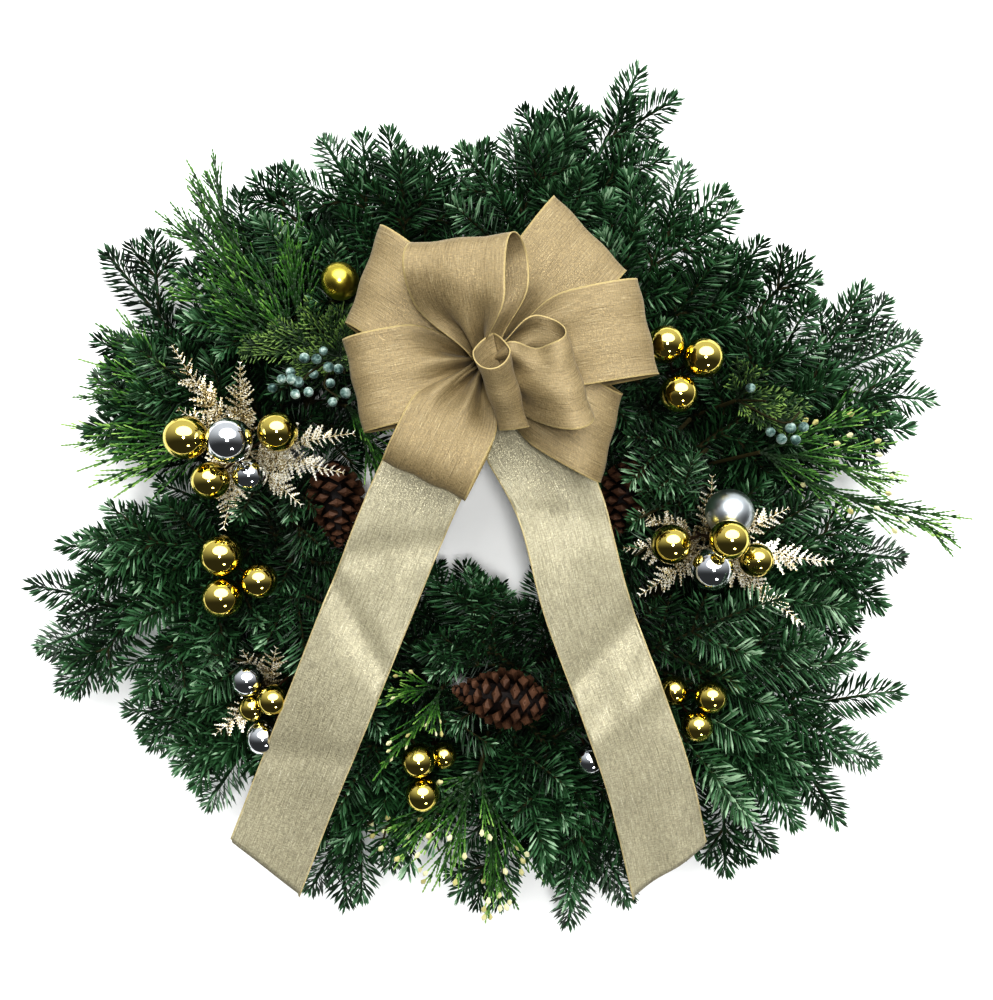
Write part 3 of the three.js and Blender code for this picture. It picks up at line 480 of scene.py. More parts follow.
@dataclass(frozen=True)
class GlitterFinish:
    """Moulded plastic fern rolled in champagne glitter: flakes that flash one by one.

    The real flakes are about 0.4 mm; they are drawn 0.7 mm wide, as fine as the render shows.
    """

    name: str
    stops: tuple[tuple[float, str], ...]
    flake: float = 1400.0

    def make(self) -> bpy.types.Material:
        """Make the glitter: each cell of a fine pattern has its own tilt and gloss, and a colour from dark to
        near white that paints its glint.

        Returns:
            The material.
        """
        material, tree, shader = blank(self.name)
        place = add_node(tree, "TexCoord").outputs["Object"]
        cells = add_node(tree, "TexVoronoi", {"Scale": self.flake}, {"Vector": place})
        value = add_node(tree, "SeparateColor", links={"Color": cells.outputs["Color"]}).outputs
        tone = add_node(tree, "Attribute", {"attribute_name": "tone"}).outputs["Fac"]
        mixed = add_node(tree, "Math", {"operation": "MULTIPLY_ADD", 1: 0.9, 2: -0.4}, {0: tone})
        # Each flake's random value spreads its colour from dark brown to near white: painted glints.
        total = add_node(tree, "Math", {"operation": "ADD", "use_clamp": True}, {0: mixed, 1: value["Red"]})
        ramp = add_node(tree, "ValToRGB", {"stops": self.stops}, {"Fac": total})
        gloss = add_node(tree, "MapRange", {"To Min": 0.18, "To Max": 0.6}, {"Value": value["Green"]})
        bump = add_node(tree, "Bump", {"Strength": 0.8, "Distance": 0.0005}, {"Height": value["Blue"]})
        fed(shader, {"Metallic": 0.45}, {"Base Color": ramp, "Roughness": gloss, "Normal": bump})
        return material


@dataclass(frozen=True)
class RibbonFinish:
    """Woven polyester ribbon with flat metal-coated threads: slubbed, with a soft gold gleam.

    The UV map is in millimetres: u across the ribbon and v along it. Real threads lie 0.3 mm
    apart; they are drawn about twice as coarse, so that the weave shows.
    """

    name: str
    base: str
    pale: str
    slub: str
    warp: float
    weft: float
    depth: float
    stitch: str = "#dcc88e"

    def threads(self, tree: bpy.types.NodeTree, place: bpy.types.Node) -> dict[str, bpy.types.Node]:
        """Add the noises that are stretched across and along the ribbon.

        Args:
            tree: The material's nodes.
            place: The ribbon's own coordinates.

        Returns:
            The noises, by what they draw.
        """
        made = {}
        for name, across, along, scale, detail, roughness in (
            # Dark threads that run along the ribbon for 15 to 40 mm, one to two millimetres apart.
            ("slub", 1.7, 0.055, 1.0, 3.0, 0.75),
            # Thick and thin weft threads across the ribbon, under a fine regular warp.
            ("weft", 0.35, self.weft, 1.0, 2.0, 0.7),
            ("warp", self.warp, 0.12, 1.0, 2.0, 0.7),
            # Stretches where the dark warp threads show.
            ("gaps", 0.45, 0.03, 1.0, 2.0, 0.5),
            # Single thread crossings that catch the light.
            ("fleck", 1.1, 0.55, 1.6, 1.0, 0.5),
        ):
            laid = add_node(tree, "Mapping", {"Scale": (across, along, 1.0)}, {"Vector": place})
            look = {"Scale": scale, "Detail": detail, "Roughness": roughness}
            made[name] = add_node(tree, "TexNoise", look, {"Vector": laid})
        return made

    def make(self) -> bpy.types.Material:
        """Make the weave: slubs, a cross weave, dark warp threads, flecks and stitched edges.

        Returns:
            The material.
        """
        material, tree, shader = blank(self.name)
        place = add_node(tree, "UVMap", {"uv_map": "ribbon"})
        noise = self.threads(tree, place)
        slub, fleck = noise["slub"], noise["fleck"]
        woven = add_node(tree, "Math", {"operation": "MULTIPLY"}, {0: noise["warp"], 1: noise["weft"]})
        # Dark warp threads: broken lines about 2 mm apart, gathered in bands.
        bands = {"Scale": 0.15, "Distortion": 0.8, "Detail": 1.0, "bands_direction": "X"}
        lines = add_node(tree, "TexWave", bands, {"Vector": place}).outputs["Fac"]
        line = add_node(tree, "MapRange", {"From Min": 0.72, "From Max": 1.0}, {"Value": lines})
        ends = {"From Min": 0.5, "From Max": 0.62, "To Min": 0.0, "To Max": 0.42}
        shown = add_node(tree, "MapRange", ends, {"Value": noise["gaps"]})
        thread = add_node(tree, "Math", {"operation": "MULTIPLY"}, {0: line, 1: shown})
        stops = ((0.24, self.slub), (0.42, self.base), (0.58, self.base), (0.80, self.pale))
        colour = add_node(tree, "ValToRGB", {"stops": stops}, {"Fac": slub})
        low, high = 1.0 - self.depth, 1.0 + self.depth * 0.6
        ends = {"From Min": 0.12, "From Max": 0.42, "To Min": low, "To Max": high}
        dark = add_node(tree, "MapRange", ends, {"Value": woven})
        worked = add_node(tree, "VectorMath", {"operation": "SCALE"}, {0: colour, "Scale": dark})
        mixed = {"data_type": "RGBA", 7: linear(self.slub)}
        struck = add_node(tree, "Mix", mixed, {0: thread, 6: worked}).outputs[2]
        # The wired edge is stitched over with a pale thread; the tone attribute marks it.
        hem = add_node(tree, "Attribute", {"attribute_name": "tone"}).outputs["Fac"]
        mixed = {"data_type": "RGBA", 7: linear(self.stitch)}
        edged = add_node(tree, "Mix", mixed, {0: hem, 6: struck}).outputs[2]
        metal = add_node(tree, "ValToRGB", {"stops": ((0.48, "#3c3c3c"), (0.66, "#d8d8d8"))}, {"Fac": fleck})
        ends = {"From Min": 0.35, "From Max": 0.7, "To Min": 0.62, "To Max": 0.34}
        gloss = add_node(tree, "MapRange", ends, {"Value": fleck})
        height = add_node(tree, "Math", {"operation": "MULTIPLY_ADD", 1: 0.8}, {0: woven, 2: slub})
        bump = add_node(tree, "Bump", {"Strength": 0.5, "Distance": 0.0004}, {"Height": height})
        links = {"Base Color": edged, "Metallic": metal, "Roughness": gloss, "Normal": bump}
        fed(shader, {"Sheen Weight": 0.12, "Sheen Roughness": 0.5}, links)
        return material


WIRE = {"scale": 500.0, "detail": 3.0, "spread": (0.8, 1.25)}
BARK = {
    "bloom": 0.0, "mottle": 0.7, "grain": 320.0, "fibre": (4.0, 0.65), "relief": 0.6,
    "shine": {"Specular IOR Level": 0.25},
}


class Finish(Enum):
    """Every finish of the wreath, by what it is on."""

    # Waxy dark needles with a pale blue bloom on young ones; the ramp's darkest stops also paint the shade on
    # needles that lie low in a bough.
    FIR = PlantFinish(
        "noble_fir_needle",
        ((0.0, "#040c05"), (0.35, "#102a13"), (0.6, "#294c2c"), (0.82, "#4d7452"), (1.0, "#9fba9c")),
        roughness=0.4, bloom=0.05,
    )
    # Fresh yellow-green scales that are brighter towards each tip.
    CEDAR = PlantFinish(
        "incense_cedar_scale_leaf", ((0.0, "#061404"), (0.35, "#1e4413"), (0.65, "#467729"), (1.0, "#a0c36c"))
    )
    # Dull olive scales.
    JUNIPER = PlantFinish(
        "juniper_scale_leaf", ((0.0, "#07150a"), (0.45, "#26421c"), (1.0, "#7f9a54")), roughness=0.55
    )
    # A dark blue skin under a patchy white bloom that takes its gloss.
    BERRY = PlantFinish(
        "juniper_berry_with_bloom",
        ((0.0, "#131f1c"), (0.35, "#3d5853"), (0.65, "#859d96"), (1.0, "#dde8e0")),
        bloom=0.3, mottle=1.3, grain=330.0,
    )
    # Pale yellow papery cones full of pollen.
    BUD = PlantFinish("incense_cedar_pollen_cone", ((0.0, "#8a8048"), (0.5, "#c9c286"), (1.0, "#f0eec8")))
    # Olive brown rind, darkened as painted shade under the needles so that it almost vanishes among them.
    TWIG = PlantFinish("fir_twig_bark", ((0.0, "#181a0e"), (1.0, "#4c4529")), 0.75, **BARK)
    # Dry reddish wood, lighter on the shields; the ramp's almost black end is painted shade deep between the
    # scales.
    CONE = PlantFinish("pine_cone_wood", ((0.0, "#0c0403"), (1.0, "#674a38")), 0.6, **BARK)
    # Hard mirrors, and a satin sort that only shows a broad glow.
    GOLD = MetalFinish("gold_plated_ball", "#e3d078", 0.07)
    SATIN_GOLD = MetalFinish("satin_gold_ball", "#cfc05a", 0.28)
    SILVER = MetalFinish("silver_plated_ball", "#e4e6e8", 0.07)
    SATIN_SILVER = MetalFinish("satin_silver_ball", "#d5dadd", 0.32)
    # Drawn steel wire under brown lacquer and under green enamel: a thin broken glint.
    PICK_WIRE = MetalFinish("lacquered_pick_wire", "#3d2a1c", 0.45, 0.5, **WIRE)
    RING_WIRE = MetalFinish("green_enamelled_ring_wire", "#24402c", 0.4, 0.2, **WIRE)
    # Champagne flakes in colours from dark brown to near white: painted glints besides each flake's own tilt
    # and gloss.
    GLITTER = GlitterFinish(
        "glitter_on_moulded_fern", ((0.0, "#483c22"), (0.35, "#a08c5a"), (0.6, "#dcd0ac"), (0.85, "#fffdf4"))
    )
    # One ribbon in two colours, as painted light and shade: the loops' copy is darker and warmer, and the
    # tails', which lie flatter to the light, paler and greyer.
    LOOP_RIBBON = RibbonFinish("champagne_ribbon_of_loops", "#928260", "#cabd9a", "#5a4a2c", 1.8, 1.5, 0.32)
    TAIL_RIBBON = RibbonFinish("champagne_ribbon_of_tails", "#aaa48b", "#e8e3cc", "#6f6a52", 1.5, 1.0, 0.42)

    def material(self) -> bpy.types.Material:
        """The finish's material, made once."""
        return bpy.data.materials.get(self.value.name) or self.value.make()


# Room for foliage


class Room:
    """Space that balls, cones and ribbon take, in cells, so that no needle runs through them."""

    cell = 3.0
    low = np.array([-420.0, -400.0, -6.0])
    counts = (280, 260, 72)
    ground = 0.6

    def __init__(self) -> None:
        """Start with all space free."""
        self.taken = np.zeros(self.counts, dtype=bool)

    def cells(self, points: np.ndarray) -> tuple[np.ndarray, ...]:
        """Cell numbers of points, kept within the grid."""
        index = np.floor((points - self.low) / self.cell).astype(int)
        return tuple(np.moveaxis(np.clip(index, 0, np.array(self.counts) - 1), -1, 0))

    def block(self, points: np.ndarray, lifts: tuple[float, ...] = (0.0,)) -> None:
        """Take the cells that hold the points, and those at some heights above them."""
        for lift in lifts:
            self.taken[self.cells(points + UP * lift)] = True

    def block_ball(self, centre: np.ndarray, radius: float, lifts: tuple[float, ...] = (0.0,)) -> None:
        """Take the cells within a ball.

        Args:
            centre: Its middle.
            radius: Its radius.
            lifts: Heights at which its cells are taken as well.
        """
        reach = np.arange(-radius, radius + 1, self.cell / 2)
        grid = np.stack(np.meshgrid(reach, reach, reach, indexing="ij"), -1).reshape(-1, 3)
        self.block(centre + grid[np.linalg.norm(grid, axis=1) < radius], lifts)

    def block_box(self, low: Spot, high: Spot) -> None:
        """Take the cells of a box."""
        (x0, x1), (y0, y1), (z0, z1) = self.cells(np.array([low, high]))
        self.taken[x0 : x1 + 1, y0 : y1 + 1, z0 : z1 + 1] = True

    def free(self, points: np.ndarray) -> np.ndarray:
        """Whether all points along the last but one axis are in free cells above the ground."""
        return ~(self.taken[self.cells(points)] | (points[..., 2] < self.ground)).any(axis=-1)


# Wire ring


@dataclass
class WireRing:
    """Clamp ring: two rails of round wire and twelve clamps, each a pair of bars with bent prongs."""

    clamps: int = 12
    overhang: float = 7.0
    bar_radius: float = 1.2
    half_opening: float = 0.55
    # Each prong's corners, in from the bar's end and up from the ground.
    prong: tuple = ((3.0, 15.6), (0.0, 13.5), (0.0, 6.2), (2.0, 4.2))

    def build(self) -> None:
        """Model the rails and the clamps and stand for the CAD ring."""
        shape = Shape()
        for radius in (RAIL_INNER, RAIL_OUTER):
            sizes = {"major_radius": radius, "minor_radius": RAIL_SIZE / 2}
            Workbench.start("torus", **sizes, major_segments=96, minor_segments=8)
            points, faces = Workbench.taken()
            shape.add((points + RING_CENTRE + UP * RAIL_SIZE / 2, faces))
        inner = RAIL_INNER - self.overhang + RAIL_SIZE / 2
        outer = RAIL_OUTER + self.overhang - RAIL_SIZE / 2
        corners = [(inner + back, height) for back, height in self.prong]
        corners += [(outer - back, height) for back, height in self.prong[::-1]]
        for i in range(self.clamps):
            for way in (-1.0, 1.0):
                bearing = i * 360 / self.clamps + way * self.half_opening
                path = np.array([around(radius, bearing, height) for radius, height in corners])
                shape.add(tube(rounded(path, 26), self.bar_radius, 6))
        Workbench.piece("clamp_ring", shape, [Finish.RING_WIRE], "wire_ring", "wire")


# Ball picks


@dataclass
class Pick:
    """One wired pick: cluster and metal, balls, where its wires meet, and its foot on a rail."""

    name: str
    balls: tuple[tuple[float, float, float, float], ...]
    waist: Spot
    rail: float
    bearing: float
    turn: int
    satin: tuple[int, ...] = ()


PICKS = (
    Pick("a_gold", ((-118, 155, 95, 14),), (-122, 148, 66), RAIL_INNER, 128.5, 1, (0,)),
    Pick(
        "b_gold", ((-221, 38, 118, 15.6), (-160, 43, 110, 14.4), (-210, 8, 105, 13.8)),
        (-189, 32, 82), RAIL_OUTER, 162.5, 1,
    ),
    Pick("b_silver", ((-193, 36, 122, 16.2), (-183, 12, 100, 12.4)), (-186, 2, 80), RAIL_OUTER, 176, 1),
    Pick(
        "c_gold", ((-203, -47, 102, 15.3), (-176, -65, 100, 13.1), (-203, -77, 100, 14.6)),
        (-193, -63, 72), RAIL_OUTER, 197, 1,
    ),
    Pick("d_gold", ((-170, -153, 92, 11.5), (-184, -166, 82, 10.5)), (-168, -147, 80), RAIL_INNER, 224, 1),
    Pick("d_silver", ((-186, -143, 88, 12), (-180, -179, 82, 12.7)), (-164, -156, 62), RAIL_OUTER, 230, 1),
    Pick(
        "e_gold", ((-60, -200, 88, 12.7), (-58, -226, 86, 12.7), (-44, -201, 74, 10)),
        (-53, -202, 55), RAIL_OUTER, 259, -1,
    ),
    Pick("f_silver", ((68, -202, 80, 11),), (62, -188, 60), RAIL_OUTER, 294, -1),
    Pick(
        "g_gold", ((130, -149, 84, 11.1), (155, -152, 94, 11.8), (146, -173, 92, 11.5)),
        (134, -152, 62), RAIL_OUTER, 316, -1,
    ),
    Pick(
        "h_gold", ((123, -38, 108, 14.4), (160, -32, 126, 14), (187, -50, 100, 12.4)),
        (149, -33, 88), RAIL_OUTER, 353.5, -1,
    ),
    Pick(
        "h_silver", ((152, -56, 108, 15.5), (166, -17, 105, 17.4)),
        (153, -60, 76), RAIL_OUTER, 341.5, 1, (1,),
    ),
    Pick(
        "i_gold", ((121, 106, 106, 13.7), (145, 97, 108, 14.4), (129, 71, 106, 13.7)),
        (131, 90, 76), RAIL_OUTER, 36, 1,
    ),
)


@dataclass
class BallPicks:
    """Plated balls on lacquered wires, in clusters whose balls just touch."""

    room: Room
    gap: float = 0.8
    rounds: int = 60
    fork_step: float = 0.12
    neck_radius: float = 0.17
    neck_length: float = 0.22
    clearance: float = 1.5
    lifts: tuple[float, ...] = (0.0, 9.0, 18.0)

    def ball_model(self) -> Model:
        """Model a ball of radius one with the neck that its wire is glued into, at its lower pole.

        Returns:
            Points and triangles.
        """
        Workbench.start("uv_sphere", segments=32, ring_count=22, radius=1.0)
        Workbench.select_where(2, -1.1, -0.98)
        wide = self.neck_radius / 0.2
        Workbench.extrude((0, 0, -self.neck_length), (wide, wide, 0.2))
        Workbench.extrude((0, 0, -0.03), (0.7, 0.7, 1.0))
        return Workbench.taken()

    def settled(self, picks: list[Pick]) -> list[list[tuple[np.ndarray, float]]]:
        """Push a cluster's balls apart until none is in another.

        Args:
            picks: The picks of one cluster.

        Returns:
            Centres and radii of each pick's balls.
        """
        placed = [[(spot(ball[:3]), ball[3]) for ball in pick.balls] for pick in picks]
        every = [ball for balls in placed for ball in balls]
        for _ in range(self.rounds):
            for i, (first, first_radius) in enumerate(every):
                for second, second_radius in every[i + 1 :]:
                    apart = second - first
                    distance = float(np.linalg.norm(apart))
                    short = first_radius + second_radius + self.gap - distance
                    if short > 0:
                        first -= apart / distance * short / 2
                        second += apart / distance * short / 2
        return placed

    def build(self) -> None:
        """Model every pick and note the space of its balls."""
        model = self.ball_model()
        for cluster in sorted({pick.name[0] for pick in PICKS}):
            picks = [pick for pick in PICKS if pick.name[0] == cluster]
            for pick, balls in zip(picks, self.settled(picks)):
                self.build_pick(pick, balls, model)

    def build_pick(self, pick: Pick, balls: list[tuple[np.ndarray, float]], model: Model) -> None:
        """Model one pick.

        Args:
            pick: What it is made of.
            balls: Settled centres and radii.
            model: The ball of radius one.
        """
        shape = Shape()
        waist = spot(pick.waist)
        foot = foot_on_rail(pick.rail, pick.bearing, pick.turn)
        for i, (centre, radius) in enumerate(balls):
            start = waist if i == 0 else waist + (foot[1] - waist) * self.fork_step * i
            corners = np.array([*foot, start, centre] if i == 0 else [start, centre])
            shape.add(tube(resampled(corners, 14), PICK_WIRE), finish=1)
            down = unit(start - centre)
            side = unit(np.cross(down, (0.3, 0.8, 0.5)))
            axes = np.array([[side, np.cross(-down, side), -down]])
            ball = copies(model, centre[None], axes, np.full((1, 3), radius))
            shape.add(ball, finish=2 if i in pick.satin else 0)
            self.room.block_ball(centre, radius + self.clearance, self.lifts)
        metal = pick.name[2:]
        finishes = [Finish[metal.upper()], Finish.PICK_WIRE, Finish[f"SATIN_{metal.upper()}"]]
        Workbench.piece(f"plated_balls_{pick.name}", shape, finishes, f"ball_pick_{pick.name}", metal)


# Glittered fern


@dataclass
class Fern:
    """One glittered fern pick: its cluster, foot, the fronds' meeting point and their tips."""

    cluster: str
    bearing: float
    waist: Spot
    fronds: tuple[Spot, ...]


FERNS = (
    Fern(
        "b", 167.5, (-196, 31, 58),
        ((-244, 109, 90), (-192, 96, 94), (-240, 62, 88), (-107, 43, 97), (-116, 14, 88), (-150, -10, 80),
         (-209, -28, 80), (-232, 6, 82)),
    ),
    Fern("d", 225, (-181, -155, 48), ((-196, -120, 76), (-170, -118, 76), (-219, -186, 70))),
    Fern(
        "h", 346.5, (160, -44, 52),
        ((92, -42, 84), (104, -78, 84), (160, 12, 80), (104, -14, 80), (226, -99, 88), (249, -52, 86),
         (218, -12, 80)),
    ),
)


@dataclass
class GlitterFerns:
    """Glittered fern fronds: a wiry rib with toothed leaflets on both sides."""

    room: Room
    leaflet_pitch: float = 4.4
    widest: float = 15.0
    arch: float = 0.1
    teeth: int = 5
    lifts: tuple[float, ...] = (0.0, 5.0, 10.0)
    rib: tuple[float, float] = (0.9, 0.35)
    random: np.random.Generator = field(default_factory=lambda: np.random.default_rng(88))

    def leaflet_model(self) -> Model:
        """Model a leaflet one long: a thin blade, cut into teeth, from a stretched and notched strip.

        Returns:
            Points and triangles.
        """
        steps = self.teeth * 2
        Workbench.start("grid", x_subdivisions=steps, y_subdivisions=2, size=1.0, location=(0.5, 0, 0))
        Workbench.extrude((0, 0, 0.05))
        points, faces = Workbench.taken()
        along, across = points[:, 0], np.sign(points[:, 1])
        notch = np.where(np.round(along * steps) % 2 == 0, 0.28, 1.0)
        width = 0.17 * notch * np.clip(1.25 - along, 0.12, 1.0)
        thick = points[:, 2] * (1 - 0.5 * along) - 0.3 * along**2 * 0.2
        return np.stack([along + np.abs(across) * notch * 0.09, across * width, thick], 1), faces

    def frond(self, shape: Shape, root: np.ndarray, tip: np.ndarray, model: Model) -> None:
        """Add one frond.

        Args:
            shape: The pick's shape.
            root: Where it starts.
            tip: Where it ends.
            model: The leaflet.
        """
        length = float(np.linalg.norm(tip - root))
        heading = unit(tip - root)
        side = unit(np.cross(UP, heading))
        rise = np.cross(heading, side)
        share = np.linspace(0, 1, 24)[:, None]
        path = root + heading * share * length + rise * self.arch * length * np.sin(math.pi * share)
        shape.add(tube(path, np.linspace(*self.rib, len(path)), 5))
        along = np.linspace(0.14, 0.985, int(length * 0.9 / self.leaflet_pitch))
        base = columns(along, share[:, 0], path)
        forward = unit(columns(along, share[:, 0], frames(path)[0]))
        envelope = np.interp(along, [0, 0.3, 0.6, 1.0], [0.5, 1.0, 0.85, 0.18]) * self.widest
        draw = self.random.uniform
        for way in (-1.0, 1.0):
            spread = np.radians(draw(38, 64, len(along)))[:, None]
            lift = rise * draw(-0.2, 0.45, len(along))[:, None]
            x_axis = unit(forward * np.cos(spread) + way * side * np.sin(spread) + lift)
            z_axis = unit(np.cross(x_axis, np.cross(rise, x_axis)))
            grown = envelope * draw(0.6, 1.2, len(envelope))
            sizes = np.stack([grown, grown * draw(0.8, 1.7, len(grown)), np.maximum(grown, 8.0)], 1)
            leaflets = copies(model, base, np.stack([x_axis, np.cross(z_axis, x_axis), z_axis], 1), sizes)
            # Darker towards the frond's base, and painted light by heading: fronds that point to +y darker,
            # those that point to +x paler.
            lit = 0.2 + 0.45 * along - 0.25 * max(0.0, heading[1]) + 0.1 * heading[0]
            tone = lit[:, None] + 0.4 * model[0][:, 0] + draw(-0.2, 0.2, (len(along), 1))
            shape.add(leaflets, tone=np.clip(tone, 0, 1).ravel())
            self.room.block(leaflets[0], self.lifts)
        self.room.block(path)

    def build(self) -> None:
        """Model the three fern picks."""
        model = self.leaflet_model()
        for fern in FERNS:
            shape = Shape()
            waist = spot(fern.waist)
            corners = np.array([*foot_on_rail(RAIL_OUTER, fern.bearing, 1), waist])
            shape.add(tube(resampled(corners, 14), PICK_WIRE), finish=1)
            for target in fern.fronds:
                self.frond(shape, waist, spot(target), model)
            name = f"glittered_fronds_{fern.cluster}"
            finishes = [Finish.GLITTER, Finish.PICK_WIRE]
            Workbench.piece(name, shape, finishes, f"glitter_fern_{fern.cluster}", "glitter", faceted=True)


# Pine cones


@dataclass
class PineCone:
    """A ripe pine cone: woody scales in a golden-angle spiral, each with a keeled shield."""

    place: str
    base: Spot
    apex: Spot
    width: float
    bearing: float
    turn: int
    bare: float = 1.0
    scales: int = 66
    seed: int = 3

    @staticmethod
    def surface(share: np.ndarray | float) -> np.ndarray | float:
        """The cone's outline: its radius for a place along its axis."""
        return np.sin(math.pi * np.power(share, 0.8) * 0.93 + 0.16)

    @staticmethod
    def scale_model() -> Model:
        """Model a scale one long along x: a thin stalk that ends in a diamond shield with an umbo.

        Returns:
            Points and triangles.
        """
        sizes = {"vertices": 4, "radius1": 0.66, "radius2": 0.24, "depth": 0.2}
        Workbench.start("cone", **sizes, end_fill_type="TRIFAN", rotation=(0, math.pi / 2, 0))
        Workbench.select_where(0, -0.2, -0.05)
        Workbench.extrude((-0.85, 0, 0), (1.0, 0.5, 0.35))
        Workbench.select_where(0, 0.05, 0.2)
        Workbench.extrude((0.0, 0, -0.02), (1.0, 0.45, 0.45))
        Workbench.extrude((0.1, 0, -0.05), (1.0, 0.35, 0.35))
        bpy.ops.mesh.select_all(action="SELECT")
        bpy.ops.transform.resize(value=(1.0, 1.0, 0.6))
        return Workbench.taken()

    def build(self, model: Model, room: Room) -> None:
        """Model this cone and note its space.

        Args:
            model: One scale.
            room: Space for foliage.
        """
        root = spot(self.base)
        axis = spot(self.apex) - root
        length = float(np.linalg.norm(axis))
        axis = axis / length
        across = unit(np.cross(axis, (0.2, 0.3, 1.0)))
        share = 0.03 + 0.95 * (np.arange(self.scales) + 0.5) / self.scales
        angle = (np.arange(self.scales) * GOLDEN_ANGLE)[:, None]
        outward = across * np.cos(angle) + np.cross(axis, across) * np.sin(angle)
        tilt = np.radians(np.interp(share, [0, 0.35, 1.0], [-28, 18, 72]))[:, None]
        x_axis = unit(outward * np.cos(tilt) + axis * np.sin(tilt))
        z_axis = unit(axis * np.cos(tilt) - outward * np.sin(tilt))
        size = np.interp(share, [0, 0.25, 0.7, 1.0], [7.0, 10.4, 9.4, 5.2])
        reach = self.surface(share) * self.width / 2 - size * 0.3
        origin = root + axis * (share * length)[:, None] + outward * reach[:, None]
        axes = np.stack([x_axis, np.cross(z_axis, x_axis), z_axis], 1)
        # Dark on the stalks and the core, as painted shade deep between the scales, and light on the shields;
        # each scale a little different at random.
        painted_depth_shade = np.interp(model[0][:, 0], [-1.0, -0.2, -0.1, 0.2], [0.0, 0.1, 0.62, 0.85])
        change = np.random.default_rng(self.seed).uniform(-0.12, 0.12, self.scales)
        tone = np.tile(painted_depth_shade, self.scales) + np.repeat(change, len(painted_depth_shade))
        shape = Shape()
        shape.add(copies(model, origin, axes, np.stack([size] * 3, 1)), tone=tone)
        core = root + axis * (np.linspace(0, 0.98, 12) * length)[:, None]
        # The core takes the darkest tone: painted shade between the scales.
        shape.add(tube(core, self.surface(np.linspace(0.02, 0.98, 12)) * self.width * 0.3, 12), tone=0.0)
        wire = np.array([*foot_on_rail(RAIL_INNER, self.bearing, self.turn), root + axis * 8.0])
        shape.add(tube(resampled(wire, 10), PICK_WIRE), finish=1)
        for step in np.linspace(0, 1, 14):
            radius = (float(self.surface(step)) * self.width / 2 + 3.0) * self.bare
            room.block_ball(root + axis * step * length, radius)
        name, node = f"scaly_cone_{self.place}", f"pine_cone_{self.place}"
        Workbench.piece(name, shape, [Finish.CONE, Finish.PICK_WIRE], node, "cone", faceted=True)


# Cedar and juniper


@dataclass
class Growth:
    """What a plant is grown with: its shape, its leaf's model, its random numbers and the room."""

    shape: Shape
    leaf: Model
    random: np.random.Generator
    room: Room


